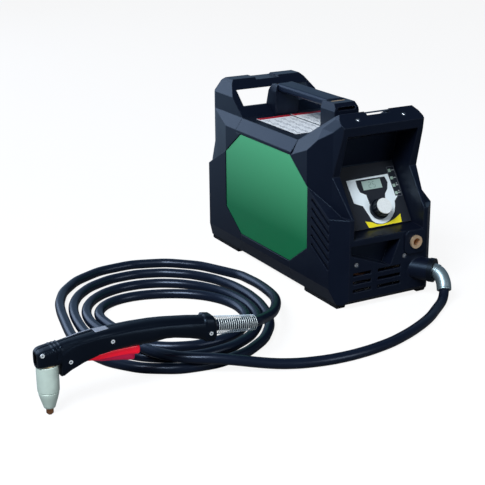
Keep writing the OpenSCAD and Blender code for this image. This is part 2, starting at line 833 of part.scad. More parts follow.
module fan_frame() {
    color("#17191d") on_rear(fan_at) translate([0, 0, fan_back]) difference() {
        union() {
            difference() {
                translate([-fan_size / 2, -fan_size / 2, 0]) cube([fan_size, fan_size, fan_depth]);
                translate([0, 0, -over]) cylinder(d = fan_size - 6, h = fan_depth + 2 * over);
            }
            cylinder(d = 34, h = fan_hub_t);
            for (a = [45:90:315]) rotate([0, 0, a]) translate([10, -2.5, 0]) cube([fan_size / 2 - 11, 5, 4]);
        }
        translate([0, 0, -over]) cylinder(d = fan_spindle_d + 2 * run_gap, h = fan_hub_t + 2 * over);
        fan_corners() translate([0, 0, -over]) cylinder(d = 4.3, h = fan_depth + 2 * over);
    }
}
module fan_rotor() {
    rotor_h = fan_depth - fan_hub_t - 3;
    color("#26292f") on_rear(fan_at) translate([0, 0, fan_back + fan_hub_t + 0.5]) {
        cylinder(d = 36, h = rotor_h);
        translate([0, 0, -fan_hub_t]) cylinder(d = fan_spindle_d, h = fan_hub_t + 2);
        for (i = [0:fan_blades - 1]) rotate([0, 0, i * 360 / fan_blades])
            translate([15, 0, rotor_h / 2]) rotate([40, 0, 0])
                translate([0, -1, -rotor_h / 2]) cube([fan_size / 2 - 20, 2, rotor_h]);
    }
}
module fan_guard() {
    color("#8f949a") on_rear(fan_at) translate([0, 0, rest]) {
        for (r = [14:10:fan_size / 2 - 4]) translate([0, 0, 1])
            rotate_extrude() translate([r - 0.9, -0.9]) square(1.8);
        for (a = [45, 135]) rotate([0, 0, a]) translate([0, 0, 1.3]) rotate([0, 90, 0])
            cylinder(d = 2.6, h = (fan_size - 12) * sqrt(2), center = true);
        fan_corners() cylinder(d = 8, h = 2.6);
    }
}
module switch_body() {
    color("#17191d") on_rear(switch_at) difference() {
        union() {
            translate([-switch_w / 2 - 2, -switch_tall / 2 - 2, rest])
                cube([switch_w + 4, switch_tall + 4, 1.6]);
            translate([-switch_w / 2, -switch_tall / 2, -19]) cube([switch_w, switch_tall, 20]);
        }
        translate([-rocker_w / 2 - 0.3, -rocker_half - 1.4, -9])
            cube([rocker_w + 0.6, 2 * rocker_half + 2.8, 20]);
        translate([0, 0, rocker_pin_z]) rotate([0, 90, 0])
            cylinder(d = rocker_pin_d + 2 * run_gap, h = rocker_w + 4, center = true);
    }
}
module switch_rocker() {
    color("#c22b2b") on_rear(switch_at) translate([0, 0, rocker_pin_z]) rotate([rocker_tilt, 0, 0]) {
        extrude_x(rocker_w) polygon([
            [-rocker_half, -3], [-rocker_half, 4], [0, 2.2], [rocker_half, 4], [rocker_half, -3], [0, -5]
        ]);
        rotate([0, 90, 0]) cylinder(d = rocker_pin_d, h = rocker_w + 3.4, center = true);
    }
}
module mains_gland() {
    color("#1b1e23") on_rear(gland_at) difference() {
        union() {
            translate([0, 0, rest]) cylinder(d = 27, h = 8, $fn = 6);
            translate([0, 0, 7]) cylinder(d = 21, h = 12);
            translate([0, 0, -14]) cylinder(d = gland_thread, h = 16);
            translate([0, 0, -rear_plate_t - rest - 5]) cylinder(d = 26, h = 5, $fn = 6);
        }
        translate([0, 0, -20]) cylinder(d = 9, h = 50);
    }
}
module air_inlet() {
    color("#b8862c") on_rear(inlet_at) difference() {
        union() {
            translate([0, 0, rest]) cylinder(d = 20, h = 7, $fn = 6);
            translate([0, 0, 6]) cylinder(d = 9, h = 18);
            translate([0, 0, -14]) cylinder(d = inlet_thread, h = 16);
        }
        translate([0, 0, -20]) cylinder(d = 5, h = 50);
    }
}
module air_regulator() {
    inner = -rear_plate_t - rest - regulator_depth;
    color("#6d7278") on_rear(regulator_at) difference() {
        union() {
            translate([-regulator_size / 2, -regulator_size / 2, inner])
                cube([regulator_size, regulator_size, regulator_depth]);
            translate([0, 0, -rear_plate_t - 2]) cylinder(d = neck_d, h = rear_plate_t + 11);
            translate([0, 0, inner - stub_len]) cylinder(d = hose_d, h = stub_len + 2);
        }
        translate([0, 0, -28]) cylinder(d = stem_d + 2 * run_gap, h = 50);
    }
}
module regulator_knob() {
    color("#15171a") on_rear(regulator_at) difference() {
        union() {
            translate([0, 0, 10]) cylinder(d = 32, h = 14);
            translate([0, 0, -22]) cylinder(d = stem_d, h = 34);
        }
        for (a = [0:30:330]) rotate([0, 0, a]) translate([16.6, 0, 12]) cylinder(d = 3.4, h = 20, $fn = 16);
    }
}

// ---- Inside the case ----
module solenoid_valve() {
    color("#3b4a63") translate([valve_at[0], valve_at[1], tray_top + rest]) {
        translate([-14, -16, 0]) cube([28, 32, 28]);
        translate([0, 8, 26]) cylinder(d = hose_d, h = 12);
        translate([0, -6, 26]) cylinder(d = 16, h = 24);
    }
}
hose_path = concat(
    [[regulator_at[0], plate_face - rear_plate_t - 2 * rest - regulator_depth - stub_len, regulator_at[1]]],
    hose_route,
    [[valve_at[0], valve_at[1] + 8, tray_top + 2 * rest + 38]]
);
module air_hose() {
    color("#2f5fa8") tube(hose_path, hose_d / 2, 8, [1, 0, 0]);
}
sink_top = 104;
module heat_sinks() {
    low = tray_top + rest;
    color("#a9adb2") both_sides() translate([0, 5, low]) {
        translate([14, 0, 0]) cube([6, 145, sink_top - low]);
        for (z = [0:9:sink_top - low - 4]) translate([19, 0, z]) cube([half_w - 41, 145, 2.2]);
    }
}
module power_board() {
    color("#1f5a3a") translate([-78, 5, sink_top + rest]) cube([156, 145, board_t]);
}
module capacitors() {
    color("#2a3550") for (x = [-54, -18, 18, 54], y = [40, 84])
        translate([x, y, sink_top + 2 * rest + board_t]) cylinder(d = 30, h = 45);
}
core_size = [72, 44, 60];
leg_w = 20;
window_w = 12;
module transformer_core() {
    color("#3a3c40") translate([-core_size[0] / 2, -57, tray_top + rest]) difference() {
        cube(core_size);
        for (x = [core_size[0] / 2 - leg_w / 2 - window_w, core_size[0] / 2 + leg_w / 2])
            translate([x, -over, 12]) cube([window_w, core_size[1] + 2 * over, core_size[2] - 24]);
    }
}
module transformer_winding() {
    side = leg_w / 2 + window_w - 0.3;
    color("#a86a32") translate([0, core_size[1] / 2 - 57, tray_top + rest + 12 + 0.3]) difference() {
        translate([-side, -core_size[1] / 2 - 10, 0])
            cube([2 * side, core_size[1] + 20, core_size[2] - 24.6]);
        translate([-leg_w / 2 - 0.3, -core_size[1] / 2 - 0.3, -over])
            cube([leg_w + 0.6, core_size[1] + 0.6, core_size[2]]);
    }
}
module output_inductor() {
    color("#a86a32") translate([20, -114, tray_top + rest]) difference() {
        cylinder(d = 62, h = 30);
        translate([0, 0, -over]) cylinder(d = 26, h = 40);
    }
}

// ---- Torch ----
module on_torch() {
    translate(torch_place) children();
}
module torch_side() {
    polygon([
        [-16, 71.5], [-16, 91], [-12, 94.5], [6, 97], [20, 100], [31, 102], [62, 105], [120, 106],
        [158, 104.6], [195, 100], [228, 96], [230, 98], [241, 95], [grip_end + 1.2, 82],
        [grip_end - 2.4, 56], [232, 58.5], [228, 60], [205, 67], [178, 73], [168, 74.5], [150, 73.5],
        [60, 73.5], [47, 67], [30, 59.5], [20, 53.5], [16.4, 53.5], [16, 71.5]
    ]);
}
module torch_plan() {
    for (s = [1, -1]) scale([1, s]) polygon([
        [-17, 0], [-17, 9], [-12, 15], [16, 15], [60, half_t - 1], [100, half_t], [200, half_t - 1],
        [228, half_t - 2], [250, half_t], [250, 0]
    ]);
}
module torch_solid(inset) {
    intersection() {
        extrude_y(2 * handle_t) offset(delta = -inset) torch_side();
        linear_extrude(height = 200) offset(delta = -inset) torch_plan();
    }
}
// Handle half on the +Y side of the parting plane
module torch_shell(bore) {
    boss_top = half_t - shell_t + 0.6;
    difference() {
        intersection() {
            union() {
                difference() {
                    torch_solid(0);
                    torch_solid(shell_t);
                    translate([47, -trigger_half - trigger_gap, 40])
                        cube([88, 2 * (trigger_half + trigger_gap), 44]);
                }
                intersection() {
                    torch_solid(1);
                    union() {
                        for (p = torch_screw_places) translate([p[0], 0, p[1]]) rotate([-90, 0, 0])
                            cylinder(d = 7, h = boss_top);
                        translate([trigger_pivot[0], trigger_half + trigger_gap, trigger_pivot[1]])
                            rotate([-90, 0, 0]) cylinder(d = 9, h = boss_top - trigger_half);
                        translate([switch_u - 6, 3.6, switch_low + 3]) cube([12, half_t, 6]);
                    }
                }
            }
            translate([-50, 0, 0]) cube([400, handle_t, 150]);
        }
        translate([0, 0, 30]) cylinder(r = head_r + 0.2, h = head_top - 30 + 0.5);
        translate([0, 0, neck_h]) rotate([0, 90, 0]) cylinder(d = 9.6, h = 56);
        translate([trigger_pivot[0], 0, trigger_pivot[1]]) rotate([-90, 0, 0])
            cylinder(d = pin_d + 2 * pin_fit, h = half_t - 1.8);
        for (p = torch_screw_places) translate([p[0], -over, p[1]]) rotate([-90, 0, 0])
            cylinder(d = torch_screw_d + 2 * pin_fit, h = bore);
        translate([grip_end - 14, 0, grip_axis_h + 1.9]) rotate([0, 90 + grip_droop, 0])
            cylinder(d = lead_d + 1, h = 30);
    }
}
module torch_shell_left() {
    color("#1a1c22") on_torch() torch_shell(11);
}
module torch_shell_right() {
    color("#1a1c22") on_torch() difference() {
        mirror([0, 1, 0]) torch_shell(handle_t);
        for (p = torch_screw_places) translate([p[0], -torch_half(p[0]) + 1.6, p[1]]) rotate([90, 0, 0])
            cylinder(d = 6, h = 10);
    }
}
// Half thickness of the handle at a place along it
function torch_half(u) = u < 16 ? (u < -12 ? 12 : 15) : (u < 60 ? 15 + (u - 16) * (half_t - 16) / 44 :
    (u < 100 ? half_t - 1 + (u - 60) / 40 : (u < 200 ? half_t - (u - 100) / 100 : half_t - 1.4)));
module torch_screws() {
    color("#9ea3a8") on_torch() for (p = torch_screw_places) {
        face = torch_half(p[0]);
        translate([p[0], -face + 1.5, p[1]]) rotate([-90, 0, 0]) {
            difference() {
                translate([0, 0, -1.3]) cylinder(d = 5.6, h = 1.3);
                translate([0, 0, -2]) cylinder(d = 2.6, h = 1.4, $fn = 6);
            }
            translate([0, 0, -0.2]) cylinder(d = torch_screw_d, h = face + 7);
        }
    }
}
module torch_head() {
    color("#b8862c") on_torch() difference() {
        union() {
            translate([0, 0, head_low]) cylinder(r = head_r, h = head_top - head_low);
            translate([0, 0, neck_h]) rotate([0, 90, 0]) cylinder(d = 9, h = 54);
        }
        translate([0, 0, head_low - over]) cylinder(r = electrode_r + 0.2, h = 16);
    }
}
module shield_cup() {
    r = cup_d / 2;
    color("#b9bdc2") on_torch() rotate_extrude() polygon([
        [tip_r + 0.4, cup_low], [r / 2, cup_low], [r - 0.8, 31], [r, 35], [r, cup_top],
        [head_r + 0.3, cup_top], [head_r + 0.3, 32], [tip_r + 2.4, 20], [tip_r + 2.4, 14],
        [tip_r + 0.4, 12]
    ]);
}
module electrode() {
    color("#b06a3a") on_torch() {
        translate([0, 0, 21]) cylinder(r1 = 2, r2 = electrode_r, h = 4);
        translate([0, 0, 25]) cylinder(r = electrode_r, h = 35);
    }
}
module cutting_tip() {
    color("#b5622f") on_torch() rotate_extrude() polygon([
        [0.8, 0], [2.6, 0], [tip_r, 2.5], [tip_r, 12], [tip_r + 2, 14.2], [tip_r + 2, 19.6], [0.8, 19.6]
    ]);
}
module torch_trigger() {
    color("#c8202c") on_torch() difference() {
        union() {
            extrude_y(2 * trigger_half) polygon([
                [49.5, 66.8], [53, 70], [57.5, 73], [59, 78.5], [65, 78.5], [69, 76], [126, 76], [130, 70.5],
                [130.5, 64.5], [127.5, 58], [123.5, 57.5], [121.5, 52.5], [116, 53.5], [101, 58], [75, 61.5],
                [60, 65]
            ]);
            translate([trigger_pivot[0], 0, trigger_pivot[1]]) rotate([90, 0, 0])
                cylinder(r = 3.5, h = 2 * trigger_half, center = true);
        }
        translate([trigger_pivot[0], 0, trigger_pivot[1]]) rotate([90, 0, 0])
            cylinder(d = pin_d + 2 * run_gap, h = 3 * trigger_half, center = true);
    }
}
module trigger_pin() {
    color("#c9ccd0") on_torch() translate([trigger_pivot[0], 0, trigger_pivot[1]]) rotate([90, 0, 0])
        cylinder(d = pin_d, h = 2 * (half_t - 3.4), center = true);
}
module trigger_switch() {
    color("#2b2e33") on_torch() difference() {
        translate([switch_u - 8, -3.2, switch_low]) cube([16, 6.4, 10]);
        translate([switch_u, 0, switch_low - over]) cylinder(d = plunger_d + 2 * run_gap, h = 7);
    }
}
module switch_plunger() {
    color("#d9d9d4") on_torch() translate([switch_u, 0, plunger_low]) cylinder(d = plunger_d, h = 6.4);
}
// Centre line of the torch lead as it leaves the handle
grip_axis = [cos(grip_droop), 0, -sin(grip_droop)];
grip_mouth = torch_place + [grip_end, 0, grip_axis_h];
curl_steps = relief_turns * curl_rings;
// The spring narrows towards its free end
function curl_r(i) = (relief_d - wire_d) / 2 + 2.2 * (1 - i / curl_steps);
function curl_at(i) = let (turn = 360 * i / curl_rings)
    grip_mouth + (1.2 * wire_d + (relief_len - 2 * wire_d) * i / curl_steps) * grip_axis
    + curl_r(i) * (sin(turn) * [0, 1, 0] + cos(turn) * cross([0, 1, 0], grip_axis));
spring_path = let (last = curl_steps) concat(
    [curl_at(0) + wire_d * unit(curl_at(0) - curl_at(0.1))],
    [for (i = [0:curl_steps]) curl_at(i)],
    [curl_at(last) + wire_d * unit(curl_at(last) - curl_at(last - 0.1))]
);
module relief_spring() {
    color("#b9bdc2") tube(spring_path, wire_d / 2, 6, grip_axis);
}

// ---- Torch lead ----
function coil_reach(a) = coil_mean + coil_oval * cos(2 * (a - coil_oval_at))
    + coil_shift * cos(a - coil_shift_at);
function coil_step(a) = step_mean + step_oval * cos(2 * (a - step_oval_at))
    + step_shift * cos(a - step_shift_at);
function coil_at(a) = let (r = coil_reach(a) - coil_step(a) * (a + 45) / 360)
    [coil_centre[0] + r * cos(a), coil_centre[1] + r * sin(a), lead_r];
coil_to = coil_from + coil_steps * 360 / coil_rings;
coil_start_heading = unit(coil_at(coil_from + 1) - coil_at(coil_from - 1));
coil_end_heading = unit(coil_at(coil_to + 1) - coil_at(coil_to - 1));
coil_start = coil_at(coil_from) - lead_d * coil_start_heading;
coil_end = coil_at(coil_to) + lead_d * coil_end_heading;
coil_path = concat(
    [coil_start], [for (i = [0:coil_steps]) coil_at(coil_from + i * 360 / coil_rings)], [coil_end]
);
run_path = concat(
    [boot_end, boot_end + 0.5 * lead_d * boot_heading], placed(run_route),
    [coil_end + lead_d * coil_end_heading, coil_end]
);
tail_path = concat(
    [for (h = [0.2, relief_len / 2, relief_len]) grip_mouth + h * grip_axis], placed(tail_route),
    [coil_start - lead_d * coil_start_heading, coil_start]
);
module lead_run() {
    color("#1b1e26") tube(run_path, lead_r, lead_sides);
}
module lead_coil() {
    color("#1b1e26") tube(coil_path, lead_r, coil_sides);
}
module lead_tail() {
    color("#1b1e26") tube(tail_path, lead_r, lead_sides);
}
echo(least_gap_of_coil = least_gap(coil_path, coil_rings, lead_d));
echo(least_gap_of_spring = least_gap(spring_path, curl_rings, wire_d));

base_tray();
front_bezel();
rear_bezel();
top_cover();
sills();
side_panel_left();
side_panel_right();
feet();
case_screws();
handle_bar();
handle_block_front();
handle_block_rear();
strap_bars();
deck_plates();
control_panel();
display_module();
indicator_lamps();
control_board();
encoder_body();
encoder_shaft();
current_knob();
knob_cap();
work_socket_flange();
work_socket();
lead_collar();
lead_boot();
torch_adaptor();
rear_panel();
fan_frame();
fan_rotor();
fan_guard();
switch_body();
switch_rocker();
mains_gland();
air_inlet();
air_regulator();
regulator_knob();
solenoid_valve();
air_hose();
heat_sinks();
power_board();
capacitors();
transformer_core();
transformer_winding();
output_inductor();
torch_shell_left();
torch_shell_right();
torch_head();
shield_cup();
electrode();
cutting_tip();
torch_trigger();
trigger_pin();
trigger_switch();
switch_plunger();
relief_spring();
torch_screws();
lead_run();
lead_coil();
lead_tail();
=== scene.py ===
"""Looks of a portable air plasma cutter: moulded power unit, hand torch and coiled torch lead.

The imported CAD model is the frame. Metres, +Z up, the control panel faces -Y.
"""

import logging
import math
from dataclasses import dataclass
from enum import Enum
from typing import Callable, Sequence

import bmesh
import bpy
import numpy as np
from mathutils import Matrix, Vector


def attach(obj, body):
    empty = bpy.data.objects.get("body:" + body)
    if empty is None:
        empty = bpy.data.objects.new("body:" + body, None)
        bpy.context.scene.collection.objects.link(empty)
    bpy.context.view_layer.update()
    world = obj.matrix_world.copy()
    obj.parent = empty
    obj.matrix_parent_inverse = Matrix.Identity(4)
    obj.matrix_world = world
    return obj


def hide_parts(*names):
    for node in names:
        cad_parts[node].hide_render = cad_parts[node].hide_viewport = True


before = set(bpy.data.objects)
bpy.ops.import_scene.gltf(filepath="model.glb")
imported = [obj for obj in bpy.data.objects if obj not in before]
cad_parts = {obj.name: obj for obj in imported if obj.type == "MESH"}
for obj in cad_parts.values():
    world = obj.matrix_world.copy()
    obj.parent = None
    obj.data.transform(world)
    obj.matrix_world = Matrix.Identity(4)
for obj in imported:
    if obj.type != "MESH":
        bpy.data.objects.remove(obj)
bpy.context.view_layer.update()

MM = 0.001
ROUGHNESS_SPREAD = 0.12  # Share by which the clouds make a finish duller or glossier
CLOUD_DETAIL = 3
GRAIN_DETAIL = 2
BEVEL_SAMPLES = 6
EDGE_BEGINS = 0.995  # Cosine between the rounded and the true normal where the painted edge highlight begins
EDGE_FULL = 0.9  # The same, where the painted edge highlight is full
PAINTED_HIGHLIGHT_FROM = 90 * MM  # Height over the floor where the painted highlight towards the top begins
PAINTED_HIGHLIGHT_TO = 245 * MM  # Height where that painted highlight is full
SAME_PLACE = 0.001 * MM  # Reach within which two points become one
Colour = tuple[float, float, float]
Array = np.ndarray
Tree = bpy.types.NodeTree
Socket = bpy.types.NodeSocket
log = logging.getLogger("plasma_cutter")


# ---- Node trees ----


def ranged(
    tree: Tree, value: Socket, start: float, stop: float, low: float = 0.0, high: float = 1.0
) -> Socket:
    """Adds a range that takes a value evenly from start and stop to low and high, and no further.

    Args:
        tree: Node tree that gets the node.
        value: Socket with the value.
        start: Value that becomes low.
        stop: Value that becomes high.
        low: Result at the start.
        high: Result at the stop.

    Returns:
        Socket with the result.
    """
    node = tree.nodes.new("ShaderNodeMapRange")
    node.inputs["From Min"].default_value = start
    node.inputs["From Max"].default_value = stop
    node.inputs["To Min"].default_value = low
    node.inputs["To Max"].default_value = high
    tree.links.new(value, node.inputs["Value"])
    return node.outputs["Result"]


def mixed(tree: Tree, share: Socket, first: Socket | Colour, second: Socket | Colour) -> Socket:
    """Adds a mix of two colours, each a socket or plain numbers.

    Args:
        tree: Node tree that gets the node.
        share: Socket with the share of the second colour.
        first: Colour at a share of nothing.
        second: Colour at a whole share.

    Returns:
        Socket with the mixed colour.
    """
    node = tree.nodes.new("ShaderNodeMix")
    node.data_type = "RGBA"
    tree.links.new(share, node.inputs["Factor"])
    for socket, colour in zip([s for s in node.inputs if s.type == "RGBA"], (first, second)):
        if isinstance(colour, Socket):
            tree.links.new(colour, socket)
        else:
            socket.default_value = (*colour, 1)
    return next(s for s in node.outputs if s.type == "RGBA")


def axis_part(tree: Tree, place: Socket, axis: str) -> Socket:
    """Adds a split that gives one part of a place or direction.

    Args:
        tree: Node tree that gets the node.
        place: Socket with the place or direction.
        axis: X, Y or Z.

    Returns:
        Socket with that part.
    """
    split = tree.nodes.new("ShaderNodeSeparateXYZ")
    tree.links.new(place, split.inputs["Vector"])
    return split.outputs[axis]


# ---- Finishes ----


class Grain(Enum):
    """How the grain of a finish runs over a piece: how many times finer it is along X, Y and Z."""

    EVEN = (1.0, 1.0, 1.0)
    TURNED = (1.0, 1.0, 14.0)
    BRUSHED = (14.0, 1.0, 1.0)


@dataclass(frozen=True)
class Finish:
    """One finish: colour, gloss and grain as a maker would give them, and painted highlights on edges and
    higher up.

    Mottle is the share by which clouds of mottle_size lighten and darken the colour. Edge is a painted
    highlight added to it along edges rounded by edge_radius. The colour that it reaches higher up is a
    painted highlight towards its top, and gloss_tint is the hue of its reflections.
    """

    name: str
    colour: Colour
    roughness: float = 0.5
    metallic: float = 0.0
    grain: Grain = Grain.EVEN
    grain_size: float = 0.8 * MM
    relief: float = 0.0
    mottle: float = 0.12
    mottle_size: float = 40 * MM
    edge: float = 0.0
    edge_radius: float = 0.0
    specular: float = 0.5
    glow: float = 0.0
    painted_top_highlight: Colour | None = None
    gloss_tint: Colour = (1.0, 1.0, 1.0)

    def material(self) -> bpy.types.Material:
        """Builds the node tree once and gives the same material for each later call.

        Returns:
            The material with this finish.
        """
        look = f"look_{self.name}"
        made = bpy.data.materials.get(look)
        if made:
            return made
        made = bpy.data.materials.new(look)
        made.use_nodes = True
        tree = made.node_tree
        shader = tree.nodes["Principled BSDF"]
        shader.inputs["Metallic"].default_value = self.metallic
        shader.inputs["Specular IOR Level"].default_value = self.specular
        shader.inputs["Specular Tint"].default_value = (*self.gloss_tint, 1)
        # Glow is emission; on the trigger finishes it is painted light.
        if self.glow:
            shader.inputs["Emission Color"].default_value = (*self.colour, 1)
            shader.inputs["Emission Strength"].default_value = self.glow
        place = tree.nodes.new("ShaderNodeTexCoord").outputs["Object"]
        clouds = self._noise(tree, place, Grain.EVEN, self.mottle_size, CLOUD_DETAIL)
        glossy = self.roughness * (1 - ROUGHNESS_SPREAD)
        dull = min(1.0, self.roughness * (1 + ROUGHNESS_SPREAD))
        tree.links.new(ranged(tree, clouds, 0, 1, glossy, dull), shader.inputs["Roughness"])
        rounded = self._rounded(tree) if self.edge_radius else None
        normal = self._grainy(tree, place, rounded) if self.relief else rounded
        if normal:
            tree.links.new(normal, shader.inputs["Normal"])
        tree.links.new(self._coloured(tree, place, clouds, rounded), shader.inputs["Base Color"])
        return made

    def _coloured(self, tree: Tree, place: Socket, clouds: Socket, rounded: Socket | None) -> Socket:
        """Lightens and darkens the colour in clouds, adds a painted highlight upwards and painted
        highlights along its edges.

        Args:
            tree: Node tree of the material.
            place: Socket with the place on the piece.
            clouds: Socket with the pattern of the clouds.
            rounded: Socket with the rounded normal, where the finish has one.

        Returns:
            Socket with the colour.
        """
        colour = mixed(tree, clouds, self._shade(1 - self.mottle), self._shade(1 + self.mottle))
        # Painted highlight: the colour grows lighter towards the top.
        if self.painted_top_highlight:
            height = axis_part(tree, place, "Z")
            colour = mixed(tree, ranged(tree, height, PAINTED_HIGHLIGHT_FROM, PAINTED_HIGHLIGHT_TO), colour, self.painted_top_highlight)
        # Painted highlight along the rounded edges.
        if self.edge and rounded:
            colour = self._painted_edge_highlights(tree, rounded, colour)
        return colour

    def _rounded(self, tree: Tree) -> Socket:
        """Adds a normal that rounds the edges by edge_radius.

        Args:
            tree: Node tree of the material.

        Returns:
            Socket with the rounded normal.
        """
        bevel = tree.nodes.new("ShaderNodeBevel")
        bevel.samples = BEVEL_SAMPLES
        bevel.inputs["Radius"].default_value = self.edge_radius
        return bevel.outputs["Normal"]

    def _grainy(self, tree: Tree, place: Socket, rounded: Socket | None) -> Socket:
        """Adds the fine grain, relief deep, to the normal.

        Args:
            tree: Node tree of the material.
            place: Socket with the place on the piece.
            rounded: Socket with the rounded normal, where the finish has one.

        Returns:
            Socket with the grainy normal.
        """
        bump = tree.nodes.new("ShaderNodeBump")
        bump.inputs["Strength"].default_value = 1.0
        bump.inputs["Distance"].default_value = self.relief
        fine = self._noise(tree, place, self.grain, self.grain_size, GRAIN_DETAIL)
        tree.links.new(fine, bump.inputs["Height"])
        if rounded:
            tree.links.new(rounded, bump.inputs["Normal"])
        return bump.outputs["Normal"]

    def _shade(self, share: float) -> Colour:
        """The colour made lighter or darker by a share, up to white."""
        return tuple(min(1.0, part * share) for part in self.colour)

    @staticmethod
    def _noise(tree: Tree, place: Socket, grain: Grain, size: float, detail: float) -> Socket:
        """Adds a noise pattern whose cells are about size across.

        Args:
            tree: Node tree that gets the pattern.
            place: Socket with the place on the piece.
            grain: How the pattern runs.
            size: Size of a cell in metres.
            detail: Octaves of finer noise.

        Returns:
            The pattern's value socket.
        """
        mapping = tree.nodes.new("ShaderNodeMapping")
        mapping.inputs["Scale"].default_value = tuple(finer / size for finer in grain.value)
        noise = tree.nodes.new("ShaderNodeTexNoise")
        noise.inputs["Scale"].default_value = 1.0
        noise.inputs["Detail"].default_value = detail
        tree.links.new(place, mapping.inputs["Vector"])
        tree.links.new(mapping.outputs["Vector"], noise.inputs["Vector"])
        return noise.outputs["Fac"]

    def _painted_edge_highlights(self, tree: Tree, rounded: Socket, colour: Socket) -> Socket:
        """Paints a highlight into the colour where the rounded normal leaves the true one, which is at the
        edges.

        Args:
            tree: Node tree of the material.
            rounded: Socket with the rounded normal.
            colour: Socket with the plain colour.

        Returns:
            Socket with the colour that has lighter edges.
        """
        dot = tree.nodes.new("ShaderNodeVectorMath")
        dot.operation = "DOT_PRODUCT"
        tree.links.new(rounded, dot.inputs[0])
        tree.links.new(tree.nodes.new("ShaderNodeNewGeometry").outputs["Normal"], dot.inputs[1])
        near = ranged(tree, dot.outputs["Value"], EDGE_BEGINS, EDGE_FULL)
        return mixed(tree, near, colour, tuple(min(1.0, part + self.edge) for part in self.colour))


COOL: Colour = (0.52, 0.74, 1.0)
# The edge of each finish below is a painted highlight along its rounded edges.
CASE = Finish(
    "case_plastic", (0.0036, 0.0054, 0.0130), 0.34, relief=0.012 * MM, grain_size=0.5 * MM,
    edge=0.006, edge_radius=2.2 * MM, specular=0.30, gloss_tint=COOL,
)
GRIP = Finish(
    "grip_plastic", (0.0060, 0.0105, 0.0250), 0.40, relief=0.012 * MM,
    edge=0.012, edge_radius=1.5 * MM, specular=0.3, gloss_tint=COOL,
)
# GREEN grows lighter towards its top: a painted highlight.
GREEN = Finish(
    "green_paint", (0.005, 0.158, 0.056), 0.40, relief=0.015 * MM, grain_size=1.2 * MM,
    mottle=0.06, edge=0.03, edge_radius=1.2 * MM, specular=0.3, painted_top_highlight=(0.100, 0.500, 0.230),
)
TORCH = Finish(
    "torch_plastic", (0.0022, 0.0034, 0.0070), 0.36, relief=0.008 * MM, grain_size=0.6 * MM,
    specular=0.24, gloss_tint=COOL,
)
LEAD = Finish(
    "lead_rubber", (0.0045, 0.0078, 0.0180), 0.30, relief=0.01 * MM, grain_size=1.4 * MM,
    mottle=0.2, specular=0.42, gloss_tint=(0.66, 0.78, 1.0),
)
SATIN_BLACK = Finish(
    "satin_black", (0.003, 0.004, 0.007), 0.42, relief=0.02 * MM,
    edge=0.01, edge_radius=0.5 * MM, specular=0.24, gloss_tint=COOL,
)
FOOT = Finish("foot_rubber", (0.006, 0.006, 0.008), 0.8, relief=0.05 * MM, specular=0.2)
SILVER = Finish("silver_boot", (0.30, 0.38, 0.41), 0.42, 0.8, relief=0.01 * MM, mottle=0.08)
CUP = Finish(
    "shield_cup_grey", (0.62, 0.73, 0.64), 0.44, 0.05, relief=0.03 * MM, mottle=0.16, mottle_size=14 * MM,
)
BRIGHT_ZINC = Finish("bright_zinc", (0.80, 0.83, 0.84), 0.40, 0.3, mottle=0.08)
SPRING_WIRE = Finish("spring_wire", (0.74, 0.80, 0.80), 0.38, 0.6, mottle=0.08)
STEEL = Finish("bright_steel", (0.66, 0.67, 0.69), 0.26, 1.0, mottle=0.08)
BRASS = Finish("brass", (0.84, 0.59, 0.37), 0.42, 0.7, Grain.TURNED, relief=0.01 * MM, mottle=0.12)
COPPER = Finish("copper", (0.60, 0.26, 0.12), 0.34, 1.0, relief=0.02 * MM, mottle=0.3, mottle_size=3 * MM)
ALUMINIUM = Finish("aluminium", (0.72, 0.73, 0.75), 0.36, 1.0, Grain.BRUSHED, relief=0.01 * MM)
ZINC = Finish("zinc", (0.45, 0.46, 0.48), 0.45, 0.9, relief=0.03 * MM)
TRAY = Finish("tray_paint", (0.30, 0.31, 0.33), 0.5, 0.2, relief=0.02 * MM)
REAR = Finish(
    "rear_powder_coat", (0.020, 0.023, 0.030), 0.6, relief=0.08 * MM, edge=0.03, edge_radius=0.5 * MM,
)
BOARD = Finish("circuit_board", (0.02, 0.12, 0.05), 0.4, relief=0.03 * MM, mottle=0.35, mottle_size=6 * MM)
SLEEVE = Finish("capacitor_sleeve", (0.02, 0.035, 0.11), 0.35, mottle=0.1)
FERRITE = Finish("ferrite", (0.045, 0.045, 0.05), 0.7, relief=0.06 * MM)
HOSE = Finish("hose_blue", (0.03, 0.12, 0.42), 0.35, mottle=0.08)
VALVE = Finish("valve_body", (0.04, 0.06, 0.13), 0.5, relief=0.03 * MM)
LABEL = Finish("label_film", (0.94, 0.94, 0.94), 0.5, mottle=0.03, specular=0.3)
LABEL_RED = Finish("label_red", (0.50, 0.02, 0.035), 0.5, mottle=0.05, specular=0.3)
LABEL_GREY = Finish("label_grey", (0.17, 0.18, 0.21), 0.5, mottle=0.1, specular=0.3)
PANEL = Finish(
    "panel_film", (0.012, 0.015, 0.022), 0.55, relief=0.02 * MM,
    edge=0.03, edge_radius=0.6 * MM, specular=0.3,
)
PANEL_SILVER = Finish("panel_silver", (0.84, 0.91, 0.93), 0.5, 0.1, mottle=0.05, mottle_size=8 * MM)
PANEL_YELLOW = Finish("panel_yellow", (0.85, 0.72, 0.02), 0.5, mottle=0.05, specular=0.3)
PANEL_MARK = Finish("panel_mark", (0.46, 0.50, 0.49), 0.5, mottle=0.05, specular=0.3)
